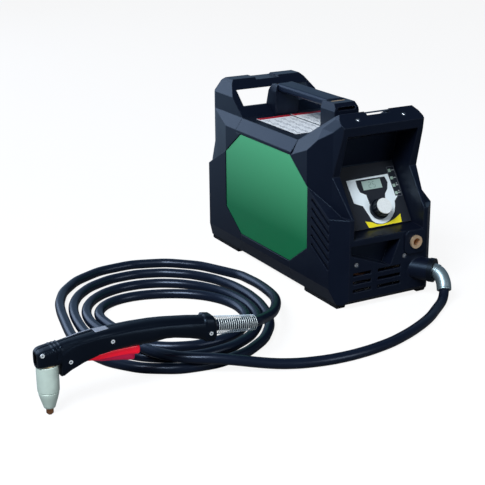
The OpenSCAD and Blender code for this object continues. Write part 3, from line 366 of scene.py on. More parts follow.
# strip_film colours the silver strip on the handle and also a painted highlight line beside it.
STRIP = Finish("strip_film", (0.30, 0.32, 0.38), 0.45, 0.2, mottle=0.25, mottle_size=3 * MM)
LCD = Finish("display_glass", (0.36, 0.48, 0.43), 0.3, mottle=0.04, glow=0.04)
LCD_DIGIT = Finish("display_digit", (0.13, 0.19, 0.17), 0.4)
LAMP = Finish("lamp_lens", (0.34, 0.46, 0.38), 0.3, mottle=0.05, glow=0.03)
CAP = Finish(
    "cap_silver", (0.84, 0.86, 0.84), 0.45, 0.1, relief=0.05 * MM, grain_size=0.7 * MM,
    mottle=0.14, mottle_size=2 * MM,
)
# Both trigger glows are painted light: emission that brightens the red in the handle's shadow.
RED = Finish("trigger_red", (0.95, 0.006, 0.030), 0.34, mottle=0.08, glow=0.30)
RED_PAD = Finish("trigger_pad", (0.52, 0.008, 0.055), 0.30, mottle=0.08, glow=0.12)
ROCKER = Finish("rocker_red", (0.5, 0.01, 0.015), 0.3, mottle=0.05, edge=0.05, edge_radius=0.5 * MM)
WINDING = Finish(
    "winding", (0.22, 0.09, 0.045), 0.45, 0.5, Grain.TURNED, grain_size=3 * MM, relief=0.3 * MM,
)
FLOOR = Finish("floor", (0.14, 0.14, 0.145), 0.9, mottle=0.02, specular=0.0)

NODE_FINISHES: dict[Finish, tuple[str, ...]] = {
    CASE: (
        "front_bezel", "rear_bezel", "top_cover", "sills", "handle_block_front",
        "handle_block_rear", "work_socket_flange",
    ),
    GRIP: ("handle_bar",),
    GREEN: ("side_panel_left", "side_panel_right"),
    TRAY: ("base_tray",),
    FOOT: ("feet",),
    STEEL: ("case_screws", "fan_guard", "trigger_pin"),
    BRIGHT_ZINC: ("torch_screws",),
    BRASS: ("strap_bars", "work_socket", "torch_adaptor", "air_inlet", "torch_head"),
    LABEL: ("deck_plates",),
    PANEL: ("control_panel",),
    LCD: ("display_module",),
    LAMP: ("indicator_lamps", "switch_plunger"),
    BOARD: ("control_board", "power_board"),
    ZINC: ("encoder_body", "encoder_shaft", "air_regulator"),
    SATIN_BLACK: (
        "current_knob", "lead_collar", "fan_frame", "fan_rotor", "switch_body", "mains_gland",
        "regulator_knob", "trigger_switch",
    ),
    CAP: ("knob_cap",),
    REAR: ("rear_panel",),
    ROCKER: ("switch_rocker",),
    VALVE: ("solenoid_valve",),
    ALUMINIUM: ("heat_sinks",),
    SLEEVE: ("capacitors",),
    FERRITE: ("transformer_core",),
    WINDING: ("transformer_winding", "output_inductor"),
    COPPER: ("electrode", "cutting_tip"),
}


# ---- Surfaces ----


def grid_faces(rows: int, columns: int, close_rows: bool = False, close_columns: bool = False) -> Array:
    """Quads of a grid of points stored row by row.

    Args:
        rows: Number of rows of points.
        columns: Number of points in a row.
        close_rows: Whether the last row joins the first.
        close_columns: Whether each row's last point joins its first.

    Returns:
        Corner numbers, one quad a line.
    """
    i = np.arange(rows if close_rows else rows - 1)[:, None]
    j = np.arange(columns if close_columns else columns - 1)[None, :]
    down, across = (i + 1) % rows, (j + 1) % columns
    corners = (i * columns + j, i * columns + across, down * columns + across, down * columns + j)
    return np.stack(np.broadcast_arrays(*corners), -1).reshape(-1, 4)


def piece(
    name: str, points: Array, faces: Sequence[Sequence[int]], finish: Finish, smooth: float | None = 40.0
) -> bpy.types.Object:
    """Makes a mesh object at the origin with its place in its points.

    Args:
        name: Name of the piece.
        points: Places of its points, one a line.
        faces: Corner numbers of each face.
        finish: What it is finished with.
        smooth: Angle in degrees up to which edges are shaded round, or None for flat faces.

    Returns:
        The new object.
    """
    mesh = bpy.data.meshes.new(name)
    places = np.asarray(points, float).reshape(-1, 3).tolist()
    mesh.from_pydata(places, [], [list(map(int, face)) for face in faces])
    mesh.validate()
    mesh.materials.append(finish.material())
    made = bpy.data.objects.new(name, mesh)
    bpy.context.scene.collection.objects.link(made)
    if smooth is not None:
        mesh.shade_smooth()
        mesh.set_sharp_from_angle(angle=math.radians(smooth))
    return made


def headings(path: Array) -> Array:
    """Unit directions along a path: the difference of each point's neighbours, over its length."""
    along = np.gradient(path, axis=0)
    return along / np.linalg.norm(along, axis=1, keepdims=True)


def frames(path: Array, up: Sequence[float]) -> tuple[Array, Array]:
    """Side and top directions of a section carried along a path.

    Side is heading x up, and top is side x heading, so a section keeps upright.

    Args:
        path: Points of the centre line.
        up: Direction that the top of the section leans towards.

    Returns:
        Unit side and top directions at each point.
    """
    along = headings(path)
    side = np.cross(along, np.asarray(up, float))
    side /= np.linalg.norm(side, axis=1, keepdims=True)
    return side, np.cross(side, along)


def tube_points(path: Array, radius: Array | float, sides: int, up: Sequence[float] = (0, 0, 1)) -> Array:
    """Rings of a round tube: centre + r (sin a side + cos a top), for sides equal angles a.

    Args:
        path: Points of the centre line.
        radius: One radius, or one for each point.
        sides: Points in a ring.
        up: Direction that the rings keep upright to.

    Returns:
        Points as rings x sides x 3.
    """
    side, top = frames(path, up)
    angle = np.linspace(0, 2 * np.pi, sides, endpoint=False)
    reach = np.broadcast_to(np.asarray(radius, float).reshape(-1, 1, 1), (len(path), 1, 1))
    around = np.sin(angle)[None, :, None] * side[:, None] + np.cos(angle)[None, :, None] * top[:, None]
    return path[:, None] + reach * around


def capped(rings: int, sides: int) -> list[list[int]]:
    """Faces of a tube of rings, closed by a many-sided face at each end, pointing outwards.

    Args:
        rings: Number of rings along the tube.
        sides: Points in a ring.

    Returns:
        Corner numbers of each face.
    """
    last = (rings - 1) * sides
    body = grid_faces(rings, sides, close_columns=True).tolist()
    return body + [list(range(sides))[::-1], list(range(last, last + sides))]


def outward(made: bpy.types.Object) -> bpy.types.Object:
    """Joins the points of a closed piece that lie on each other, and turns its faces outwards.

    Args:
        made: The closed piece.

    Returns:
        The same piece.
    """
    work = bmesh.new()
    work.from_mesh(made.data)
    bmesh.ops.remove_doubles(work, verts=work.verts, dist=SAME_PLACE)
    bmesh.ops.recalc_face_normals(work, faces=work.faces)
    work.to_mesh(made.data)
    work.free()
    return made


def smoothed(points: Array, step: float, reach: float) -> Array:
    """A smooth line near a chain of points, with its ends kept.

    The chain is sampled every step, and each sample becomes the mean of its neighbours weighted by
    a bell curve of that reach, which is cut off four reaches away. The chain is carried on beyond
    its ends as its own half-turn image.

    Args:
        points: Corner points of the chain.
        step: Spacing of the samples.
        reach: Standard deviation of the bell curve.

    Returns:
        Points of the smooth line.
    """
    points = np.asarray(points, float)
    run = np.concatenate([[0], np.cumsum(np.linalg.norm(np.diff(points, axis=0), axis=1))])
    count = int(run[-1] / step) + 1
    at = np.linspace(0, run[-1], count)
    line = np.stack([np.interp(at, run, points[:, k]) for k in range(3)], 1)
    margin = int(4 * reach / step)
    before = 2 * line[0] - line[margin:0:-1]
    after = 2 * line[-1] - line[-2:-margin - 2:-1]
    long = np.concatenate([before, line, after])
    bell = np.exp(-0.5 * (np.arange(-margin, margin + 1) * step / reach) ** 2)
    bell /= bell.sum()
    return np.stack([np.convolve(long[:, k], bell, "valid") for k in range(3)], 1)


def between(at: Array, ends: tuple[float, float]) -> Array:
    """Whether each place lies between two ends."""
    return (at > ends[0]) & (at < ends[1])


def superellipse(angle: Array, exponent: Array | float) -> tuple[Array, Array]:
    """A rounded box of reach 1: |cos a| and |sin a| raised to 2 / exponent, each with its own sign.

    Args:
        angle: Angles in degrees, from the side upwards.
        exponent: 2 for an ellipse, and more for a squarer section.

    Returns:
        Sideways and upward places.
    """
    cos, sin = np.cos(np.radians(angle)), np.sin(np.radians(angle))
    power = 2 / np.asarray(exponent, float)
    return np.sign(cos) * np.abs(cos) ** power, np.sign(sin) * np.abs(sin) ** power


def rows_of(table: Sequence[Sequence[float]], at: Array) -> Array:
    """Each column of a table read at new places, in straight lines between its rows.

    Args:
        table: Rows that begin with their place, in rising order.
        at: Places to read.

    Returns:
        One line of values for each place.
    """
    known = np.asarray(table, float)
    return np.stack([np.interp(at, known[:, 0], known[:, k]) for k in range(1, known.shape[1])], 1)


def boxed(u: Array, ends: tuple[Array, Array], half: Array, across: Array, up: Array) -> Array:
    """Points of upright sections: sideways half times across, and up from the middle of the ends.

    Args:
        u: Place of each section.
        ends: Top and bottom of each section.
        half: Half width of each section.
        across: Sideways places of a section of reach 1.
        up: Upward places of a section of reach 1.

    Returns:
        Points as sections x places x 3.
    """
    top, bottom = (end[:, None] for end in ends)
    y = half[:, None] * across
    z = (top + bottom) / 2 + (top - bottom) / 2 * up
    return np.stack([np.broadcast_to(u[:, None], y.shape), y, z], -1)


def turned(profile: Sequence[Sequence[float]], sides: int = 64) -> tuple[Array, list[list[int]]]:
    """A closed profile of radius and height, turned about the upright axis.

    Args:
        profile: Corners of the profile, in order round it.
        sides: Places round the axis.

    Returns:
        Points and faces.
    """
    radius, height = np.asarray(profile, float).T
    around = np.linspace(0, 2 * np.pi, sides, endpoint=False)[:, None]
    points = np.stack([radius * np.cos(around), radius * np.sin(around), height + 0 * around], -1)
    return points.reshape(-1, 3), grid_faces(sides, len(radius), True, True).tolist()


def sheets(
    name: str,
    outlines: Sequence[Sequence[Sequence[float]]],
    low: float,
    high: float,
    finish: Finish,
    place: Callable[[Array], Array],
) -> bpy.types.Object:
    """Thin flat sheets in one piece: each outline at two heights, joined by a rim.

    Args:
        name: Name of the piece.
        outlines: Outline of each sheet in millimetres.
        low: Height of the undersides.
        high: Height of the upper faces.
        finish: What the sheets are finished with.
        place: Takes local millimetres to places in the frame.

    Returns:
        The piece.
    """
    points: list[Array] = []
    faces: list[list[int]] = []
    start = 0
    for outline in outlines:
        flat = np.asarray(outline, float)
        count = len(flat)
        if np.sum(flat[:, 0] * np.roll(flat[:, 1], -1) - flat[:, 1] * np.roll(flat[:, 0], -1)) < 0:
            flat = flat[::-1]
        points += [np.column_stack([flat, np.full(count, h)]) for h in (low, high)]
        rim = grid_faces(2, count, close_columns=True) + start
        faces.append(list(range(start + count - 1, start - 1, -1)))
        faces.append(list(range(start + count, start + 2 * count)))
        faces += rim.tolist()
        start += 2 * count
    return piece(name, place(np.concatenate(points)), faces, finish, None)


def arc(centre: Sequence[float], radius: float, start: float, stop: float, count: int) -> list[list[float]]:
    """Points of a round arc: centre + radius (cos a, sin a), from one angle in degrees to another."""
    angle = np.radians(np.linspace(start, stop, count))
    return np.stack([centre[0] + radius * np.cos(angle), centre[1] + radius * np.sin(angle)], 1).tolist()


def box_outline(x: float, y: float, width: float, height: float, lean: float = 0.0) -> list[list[float]]:
    """Four corners of a flat bar whose middle is at x, y, with its top pushed sideways by lean."""
    w, h = width / 2, height / 2
    return [[x - w, y - h], [x + w, y - h], [x + w + lean, y + h], [x - w + lean, y + h]]


def thicken(made: bpy.types.Object, wall: float, offset: float) -> None:
    """Gives an open surface a wall.

    Args:
        made: The surface.
        wall: Thickness of the wall in millimetres.
        offset: -1 for a wall inwards of the surface, and 0 for one to both sides.
    """
    thick = made.modifiers.new("thickness", "SOLIDIFY")
    thick.thickness = wall * MM
    thick.offset = offset


def shown(made: bpy.types.Object, body: str, slot: str, *nodes: str) -> bpy.types.Object:
    """Lets a new piece ride on its body and hides the CAD nodes that it stands for.

    Args:
        made: The new piece.
        body: Body that it moves with.
        slot: Material slot of the record that it shows; not used.
        nodes: CAD nodes that it stands for.

    Returns:
        The same piece.
    """
    if nodes:
        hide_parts(*nodes)
    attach(made, body)
    log.info("%s on %s: %d faces", made.name, body, len(made.data.polygons))
    return made


def length_of(path: Array) -> float:
    """Length of a chain of points."""
    return float(np.linalg.norm(np.diff(path, axis=0), axis=1).sum())


# ---- Studio ----


@dataclass
class Studio:
    """Camera, floor, sky and soft lamps, in metres and degrees.

    White is how bright the floor or the sky is to the camera, and gloss how bright it gets in
    reflections, between the two ends of its depth along Y. Each lamp has its name, place, size,
    power and tint.
    """

    eye: tuple[float, float, float] = (-1.078, -1.699, 0.714)
    turn: float = 28.82
    dip: float = 18.60
    roll: float = 0.47
    focal_px: float = 1182.0
    frame_px: float = 485.0
    sensor: float = 36.0
    floor_size: float = 14.0
    floor_white: float = 0.90
    floor_gloss: float = 0.60
    floor_depth: tuple[float, float] = (0.1, 1.6)
    sky_white: float = 1.0
    sky_gloss: float = 0.42
    sky_depth: tuple[float, float] = (0.1, 0.9)
    sky_least: float = 0.10
    cool: Colour = (0.46, 0.70, 1.0)
    lamps: tuple[tuple[str, tuple[float, float, float], float, float, Colour], ...] = (
        ("key", (-2.0, -1.5, 2.3), 1.2, 110.0, (0.86, 0.93, 1.0)),
        ("back", (-1.5, 2.7, 1.5), 2.4, 44.0, (0.62, 0.76, 1.0)),
        ("fill", (0.9, -2.9, 0.9), 1.2, 20.0, (0.95, 0.98, 1.0)),
    )
    aim: tuple[float, float, float] = (-0.2, -0.1, 0.12)

    def camera(self) -> bpy.types.Object:
        """Places the camera from its turn about Z, its dip and its roll.

        Returns:
            The camera, set as the scene's own.
        """
        turn, dip, roll = (math.radians(a) for a in (self.turn, self.dip, self.roll))
        ahead = Vector((math.sin(turn) * math.cos(dip), math.cos(turn) * math.cos(dip), -math.sin(dip)))
        right = Vector((math.cos(turn), -math.sin(turn), 0))
        down = ahead.cross(right)
        x = math.cos(roll) * right + math.sin(roll) * down
        y = math.sin(roll) * right - math.cos(roll) * down
        lens = bpy.data.cameras.new("camera")
        lens.sensor_width = self.sensor
        lens.lens = self.focal_px / self.frame_px * self.sensor
        made = bpy.data.objects.new("camera", lens)
        made.matrix_world = Matrix.Translation(self.eye) @ Matrix((x, y, -ahead)).transposed().to_4x4()
        bpy.context.scene.collection.objects.link(made)
        bpy.context.scene.camera = made
        return made

    def floor(self) -> None:
        """Lays a pale floor that keeps the object's shadow and reads as white to the camera."""
        half = self.floor_size / 2
        corners = np.array([[-half, -half, 0], [half, -half, 0], [half, half, 0], [-half, half, 0]])
        made = piece("floor", corners, [[0, 1, 2, 3]], FLOOR, smooth=None)
        tree = made.data.materials[0].node_tree
        shader = tree.nodes["Principled BSDF"]
        place = tree.nodes.new("ShaderNodeTexCoord").outputs["Object"]
        glow = self._seen(tree, place, self.floor_depth, self.floor_gloss, self.floor_white)
        tree.links.new(glow, shader.inputs["Emission Strength"])
        tree.links.new(self._hue(tree), shader.inputs["Emission Color"])

    def sky(self) -> None:
        """A plain sky, white to the camera and softer as light and in reflections."""
        world = bpy.data.worlds.new("sky")
        bpy.context.scene.world = world
        world.use_nodes = True
        tree = world.node_tree
        background = tree.nodes["Background"]
        tree.links.new(self._hue(tree), background.inputs["Color"])
        heading = tree.nodes.new("ShaderNodeTexCoord").outputs["Generated"]
        seen = self._seen(tree, heading, self.sky_depth, self.sky_gloss, self.sky_white)
        tree.links.new(ranged(tree, seen, 0, 1, low=self.sky_least), background.inputs["Strength"])

    def _hue(self, tree: Tree) -> Socket:
        """Colour of the surroundings: white to the camera and cool in light and reflections."""
        ray = tree.nodes.new("ShaderNodeLightPath")
        return mixed(tree, ray.outputs["Is Camera Ray"], self.cool, (1, 1, 1))

    @staticmethod
    def _seen(tree: Tree, place: Socket, depth: tuple[float, float], gloss: float, plain: float) -> Socket:
        """How bright the surroundings look: plain to the camera, and brighter towards +Y in reflections.

        Args:
            tree: Node tree that gets the nodes.
            place: Socket with a place or a direction.
            depth: Where along Y the brightness in reflections begins and where it is full.
            gloss: Full brightness in reflections.
            plain: Brightness to the camera.

        Returns:
            Socket with the brightness.
        """
        ray = tree.nodes.new("ShaderNodeLightPath")
        mirrored = tree.nodes.new("ShaderNodeMath")
        mirrored.operation = "MULTIPLY"
        away = ranged(tree, axis_part(tree, place, "Y"), *depth, high=gloss)
        tree.links.new(away, mirrored.inputs[0])
        tree.links.new(ray.outputs["Is Glossy Ray"], mirrored.inputs[1])
        total = tree.nodes.new("ShaderNodeMath")
        total.operation = "MULTIPLY_ADD"
        total.inputs[1].default_value = plain
        tree.links.new(ray.outputs["Is Camera Ray"], total.inputs[0])
        tree.links.new(mirrored.outputs["Value"], total.inputs[2])
        return total.outputs["Value"]

    def light(self) -> None:
        """Hangs the soft lamps, each a square that faces the object."""
        for name, place, size, power, tint in self.lamps:
            lamp = bpy.data.lights.new(name, "AREA")
            lamp.energy, lamp.size, lamp.color = power, size, tint
            made = bpy.data.objects.new(name, lamp)
            made.location = place
            made.visible_camera = False
            made.rotation_euler = (Vector(self.aim) - Vector(place)).to_track_quat("-Z", "Y").to_euler()
            bpy.context.scene.collection.objects.link(made)

    def build(self) -> None:
        """Makes the studio."""
        self.camera()
        self.floor()
        self.sky()
        self.light()
        bpy.context.scene.view_settings.view_transform = "Standard"


# ---- Torch lead ----


@dataclass
class TorchLead:
    """The lead from the boot on the case to the handle of the torch, in one piece, and its boot.

    Diameter, coil_centre, mouth, relief_length, the steps and the eases are in metres, bearings and
    turns in degrees, and the rest in millimetres. The boot's lip gives its radius at places from the
    collar on, and its rim at places back from the free end. Run and tail are the lead's routes to the
    coil and from it.
    """

    diameter: float = 0.016
    sides: int = 24
    coil_centre: tuple[float, float] = (-0.360, -0.100)
    coil_from: float = 30.0
    coil_rings: int = 24
    coil_steps: int = 82
    coil_reach: tuple[float, ...] = (213.0, 40.0, 75.0, 22.0, -6.0)
    coil_gap: tuple[float, ...] = (32.0, 14.0, 66.0, 6.0, 72.0)
    coil_whole: float = -45.0
    outlet: tuple[float, float, float] = (45.0, -204.0, 49.0)
    outlet_turn: float = 34.0
    outlet_length: float = 58.0
    route_step: float = 5 * MM
    route_ease: float = 11 * MM
    boot_sides: int = 40
    boot_in: float = 11.0
    boot_out: float = 1.0
    boot_step: float = 0.5 * MM
    boot_ease: float = 2.5 * MM
    boot_lip: tuple[tuple[float, float], ...] = (
        (0, 12), (13.4, 12), (13.6, 12.6), (16, 12.6), (16.3, 11.2), (17.6, 11.2), (18, 12),
    )
    boot_rim: tuple[tuple[float, float], ...] = (
        (3.2, 12), (3, 11.5), (2.4, 11.5), (2.2, 12), (0.6, 12), (0, 11.3),
    )
    boot: tuple[tuple[float, float, float], ...] = (
        (80.5, -258.5, 47), (81.5, -266, 42), (80.5, -273.5, 33.5), (77, -280, 23.5),
    )
    mouth: tuple[float, float, float] = (-0.3755, -0.335, 0.076)
    droop: float = 8.0
    relief_length: float = 0.068
    relief_at: tuple[float, float, float] = (1.0, 0.5, 0.003)
    run: tuple[tuple[float, float, float], ...] = (
        (68, -289.5, 10), (46, -304, 8), (11, -331, 8), (-20, -349, 8), (-56, -366, 8), (-100, -382, 8),
        (-145, -390, 8), (-182, -392, 8), (-218, -389, 8), (-258, -380, 8.5), (-290, -370, 11),
        (-320, -359, 16), (-350, -347, 22), (-378, -334, 25.5), (-406, -317, 25.5), (-430, -292, 25.5),
        (-446, -260, 25.5), (-449, -226, 26), (-446, -194, 26.5), (-441.5, -168, 23), (-437.5, -149, 14.5),
    )
    tail: tuple[tuple[float, float, float], ...] = (
        (-288, -316, 60), (-269, -301, 55), (-243, -274, 47), (-217, -238, 38), (-195, -203, 30),
        (-177, -168, 23), (-166, -132, 18), (-159, -98, 14.5), (-155.5, -66, 12), (-156, -38, 10),
    )

    def coil(self, bearing: Array) -> Array:
        """Places on the flat coil, at a distance from its middle that shrinks with each turn.

        The distance is the oval of coil_reach, less the oval of coil_gap for each turn past the
        bearing coil_whole.

        Args:
            bearing: Bearings in degrees, which grow by 360 with each turn inwards.

        Returns:
            Places on the lead's centre line.
        """
        turns = (bearing - self.coil_whole) / 360
        reach = (self._oval(bearing, *self.coil_reach) - self._oval(bearing, *self.coil_gap) * turns) * MM
        x = self.coil_centre[0] + reach * self._cos(bearing)
        y = self.coil_centre[1] + reach * np.sin(np.radians(bearing))
        return np.stack([x, y, np.full_like(x, self.diameter / 2)], 1)

    def _oval(self, a: Array, even: float, oval: float, tilt: float, shift: float, lean: float) -> Array:
        """A lopsided oval in millimetres: even + oval cos 2(a - tilt) + shift cos(a - lean)."""
        return even + oval * self._cos(2 * (a - tilt)) + shift * self._cos(a - lean)

    @staticmethod
    def _cos(degrees: Array) -> Array:
        """Cosine of an angle in degrees."""
        return np.cos(np.radians(degrees))

    def boot_route(self) -> Array:
        """The centre line of the boot, from inside the collar to its free end.

        Returns:
            Points of one smooth line.
        """
        turn = math.radians(self.outlet_turn)
        along = np.array([math.sin(turn), -math.cos(turn), 0])
        reach = (self.outlet_length - self.boot_in, self.outlet_length + self.boot_out)
        axis = [np.array(self.outlet) + h * along for h in reach]
        return smoothed(np.array([*axis, *self.boot]) * MM, self.boot_step, self.boot_ease)

    def route(self) -> Array:
        """The centre line of the whole lead, from the boot to the mouth of the handle.

        Returns:
            Points of one smooth line.
        """
        turns = self.coil(self.coil_from + np.arange(self.coil_steps + 1) * 360 / self.coil_rings)
        along = headings(turns)
        inner = turns[-1] + self.diameter * along[-1]
        outer = turns[0] - self.diameter * along[0]
        first, last = np.array(self.boot[-2]) * MM, np.array(self.boot[-1]) * MM
        leave = last + 0.5 * self.diameter * (last - first) / np.linalg.norm(last - first)
        droop = math.radians(self.droop)
        axis = np.array([math.cos(droop), 0, -math.sin(droop)])
        relief = [np.array(self.mouth) + h * self.relief_length * axis for h in self.relief_at]
        chain = [
            last, leave, *np.array(self.run) * MM, inner + self.diameter * along[-1], inner, *turns[::-1],
            outer, outer - self.diameter * along[0], *(np.array(self.tail) * MM)[::-1], *relief,
        ]
        return smoothed(np.array(chain), self.route_step, self.route_ease)

    def lead(self) -> bpy.types.Object:
        """Returns:
            The lead.
        """
        path = self.route()
        points = tube_points(path, self.diameter / 2, self.sides)
        made = piece("torch_lead", points, capped(len(path), self.sides), LEAD)
        shown(made, "case", "lead_rubber", "lead_run", "lead_coil", "lead_tail")
        log.info("torch_lead: %.3f m long", length_of(path))
        return made

    def sleeve(self) -> bpy.types.Object:
        """Sweeps the silver boot: a lip at the collar, a groove beside it and a turned-in free end.

        Returns:
            The boot.
        """
        path = self.boot_route()
        run = np.linspace(0, 1, len(path)) * length_of(path) / MM
        profile = [*self.boot_lip, *((run[-1] - back, reach) for back, reach in self.boot_rim)]
        radius = rows_of(profile, run)[:, 0]
        rings = tube_points(path, radius * MM, self.boot_sides)
        made = piece("outlet_boot", rings, capped(len(path), self.boot_sides), SILVER)
        return shown(made, "case", "silver_boot", "lead_boot")

    def build(self) -> None:
        """Makes the lead and its boot."""
        self.lead()
        self.sleeve()


# ---- Torch ----


@dataclass
class Torch:
    """Handle halves, trigger, cup and relief spring. u runs back from the tip, z up, in millimetres.

    Rows of the handle hold u, top, bottom, half width and how square the section is. Rows of the
    blade and the pad hold the first four. The cup's profile gives its radius and height, and the
    films their name, ends along u and angles over the handle.
    """

    origin: tuple[float, float, float] = (-621.0, -335.0, 0.0)
    handle: tuple[tuple[float, ...], ...] = (
        (-15.9, 90.0, 71.5, 15.0, 4.0), (-15, 92.0, 71.5, 15.0, 4.0), (-11, 95.0, 71.5, 15.0, 4.2),
        (-6, 96.2, 71.5, 15.0, 4.6), (16, 99.2, 71.5, 15.0, 4.6), (16.3, 99.2, 53.5, 14.6, 4.2),
        (20, 99.9, 53.5, 14.6, 4.0), (30, 101.4, 59.3, 14.8, 4.0), (47, 103.6, 67.0, 15.4, 5.0),
        (70, 105.6, 73.5, 16.0, 5.0), (90, 106.4, 74.5, 16.4, 3.4), (120, 106.9, 74.5, 16.8, 2.8),
        (148, 105.8, 73.0, 17.0, 2.6), (168, 103.8, 74.2, 17.0, 2.5), (182, 101.9, 72.2, 16.8, 2.4),
        (205, 98.6, 66.4, 16.4, 2.4), (226.5, 94.6, 59.6, 14.8, 2.6), (228, 94.6, 58.4, 14.8, 3.2),
        (229.6, 96.6, 57.0, 15.1, 3.6), (240, 94.6, 55.9, 15.1, 3.6), (242.5, 92.6, 56.4, 14.9, 3.4),
        (244.6, 90.0, 59.0, 13.6, 3.2),
    )
    swoosh: tuple[tuple[float, float], ...] = (
        (9, 78), (14, 84), (23.6, 90.0), (35, 94.2), (47, 96.6), (66, 98.4), (90, 99.4), (120, 99.6),
        (157, 97.5), (200, 92.5), (226, 87),
    )
    nose_u: float = -1.0
    nose_radius: float = 15.0
    nose_least: float = 1e-4
    slot: tuple[float, float] = (47.2, 133.0)
    slot_half: float = 8.4
    slot_edge: float = 0.1
    shell: float = 2.2
    parting: float = 0.12
    flank_rib: float = 0.25
    flank_pitch: float = 3.2
    flank_ends: tuple[float, float] = (-13.0, 8.0)
    top_rib: float = 0.8
    top_pitch: float = 5.0
    top_crest: float = 6.0
    top_ends: tuple[float, float] = (3.0, 20.0)
    swoosh_ends: tuple[float, float] = (9.0, 226.5)
    swoosh_step: float = 0.9
    swoosh_blend: float = 1.4
    swoosh_off: float = 2.0
    station_from: float = -15.0
    station_step: float = 1.0
    columns: int = 57
    bore: float = 9.3
    bore_u: float = 245.2
    bore_depth: float = 5.0
    bar_stations: int = 90
    bar_sides: int = 40
    bar_square: float = 4.0
    blade: tuple[tuple[float, ...], ...] = (
        (49.5, 67.8, 66.4, 2.5), (52, 69.5, 66.2, 5), (56, 71.5, 65.8, 7), (62, 73, 65.2, 7.9),
        (75, 74.5, 64.2, 8), (90, 75.5, 63.8, 8), (105, 75.5, 63.4, 8), (118, 75.5, 62.4, 8),
        (126, 75.2, 60.6, 7.9), (129.4, 73.6, 61.2, 7), (130.6, 71, 64, 5),
    )
    pad: tuple[tuple[float, ...], ...] = (
        (58, 69, 65.4, 4.5), (66, 70, 63.2, 6.4), (75, 70, 61.0, 7), (90, 70, 58.8, 7.2),
        (104, 70, 56.4, 7.2), (114, 70, 53.9, 7.0), (119.5, 68, 52.7, 6.4), (122.6, 66, 53.6, 5),
        (123.6, 63, 57, 3),
    )
    cup_profile: tuple[tuple[float, float], ...] = (
        (5.5, 10.2), (7.0, 10.0), (7.8, 10.8), (8.8, 14), (10.7, 20), (12.5, 26), (13.7, 30.6),
        (14.05, 33.0), (13.6, 33.6), (13.6, 34.2), (14.6, 35.0), (14.8, 37), (14.95, 44), (15.0, 56),
        (14.95, 70.6), (14.6, 71.2), (12.4, 71.2), (12.3, 32), (7.5, 20), (7.5, 14), (5.5, 12),
    )
    spring_radius: tuple[float, float] = (13.0, 10.8)
    spring_wire: float = 2.4
    wire_share: float = 0.42
    spring_turns: int = 19
    spring_steps: int = 32
    spring_sides: int = 12
    spring_length: float = 68.0
    spring_ends: tuple[float, float] = (0.5, 0.8)
    film: float = 0.35
    film_lift: float = 0.25
    film_grid: tuple[int, int] = (20, 17)
    films: tuple[tuple[str, float, float, float, float], ...] = (
        # The second film, a thin pale line on the handle's upper edge, is a painted highlight.
        ("handle_strip", 67, 86, 83, 98), ("handle_painted_highlight", 30, 67, 79, 85),
    )
    mouth: tuple[float, float] = (245.5, 76.0)
    droop: float = 8.0

    def place(self, points: Array) -> Array:
        """Takes local millimetres to places in the frame."""
        return (np.asarray(points, float) + np.array(self.origin)) * MM

    def stations(self) -> Array:
        """Places along the handle: even steps, each row of the table and both sides of the slot's ends.

        Returns:
            The places, in rising order.
        """
        start, stop = self.slot
        sudden = [start - self.slot_edge, start, stop, stop + self.slot_edge]
        rows = [row[0] for row in self.handle]
        even = np.arange(self.station_from, rows[-1], self.station_step)
        return np.unique(np.concatenate([even, sudden, rows]))

    def sections(self, angle: Array) -> Array:
        """Sections of one half of the handle: rounded boxes between its top and bottom lines.

        The head's front is round in plan: with r the nose's radius and d the way ahead of its middle,
        its half width is r times the fourth root of 1 - (d / r) to the fourth. Upright ribs stand on
        the head's flanks, as a cosine of u, and cross ribs on its top, as the upper half of one.
        Along the trigger's slot the lower edge stops half a slot from the parting plane.

        Args:
            angle: Angles of the points of a section, from its top down to its bottom.

        Returns:
            Points as sections x places x 3.
        """
        u = self.stations()
        top, bottom, half, exponent = rows_of(self.handle, u).T
        ahead = (self.nose_u - u) / self.nose_radius
        nose = self.nose_radius * np.clip(1 - ahead ** 4, self.nose_least, 1) ** 0.25
        half = np.where(ahead > 0, nose, half)
        flank = np.cos(2 * np.pi * u / self.flank_pitch)
        half = half + self.flank_rib * flank * between(u, self.flank_ends)
        crest = np.clip(np.cos(2 * np.pi * (u - self.top_crest) / self.top_pitch), 0, 1)
        top = top + self.top_rib * crest * between(u, self.top_ends)
        across, up = superellipse(angle[None, :], exponent[:, None])
        rows = boxed(u, (top, bottom), half, np.abs(across), up)
        slotted = ((u >= self.slot[0]) & (u <= self.slot[1]))[:, None] & (angle < 0)[None, :]
        least = np.where(slotted, self.slot_half, self.parting)
        rows[..., 1] = np.maximum(self.swooshed(u, rows[..., 1], rows[..., 2]), least)
        return rows

    def swooshed(self, u: Array, y: Array, z: Array) -> Array:
        """Sideways places of the sections, swoosh_step less where they are above the swoosh line.

        With p the part of swoosh_blend over the line, the step is 3 p^2 - 2 p^3 of the whole. Nearer
        to the parting plane than swoosh_off there is none.

        Args:
            u: Place of each section.
            y: Sideways places, one line for each section.
            z: Upward places of the same points.

        Returns:
            The new sideways places.
        """
        ridge = rows_of(self.swoosh, u)
        over = np.clip((z - ridge) / self.swoosh_blend, 0, 1) * between(u, self.swoosh_ends)[:, None]
        return y - self.swoosh_step * over * over * (3 - 2 * over) * (y > self.swoosh_off)

    def bore_rings(self, angle: Array) -> Array:
        """Half rings round the bore for the lead, one at its mouth and one at bore_depth in it.

        Args:
            angle: Angles of the points of a ring, from its top down to its bottom.

        Returns:
            Points as 2 x places x 3.
        """
        across, up = self.bore * np.cos(np.radians(angle)), self.bore * np.sin(np.radians(angle))
        u = np.full(self.columns, self.bore_u)
        ring = np.stack([u, np.maximum(across, self.parting), self.mouth[1] + up], 1)
        return np.stack([ring, ring - np.array([self.bore_depth, 0, 0])])

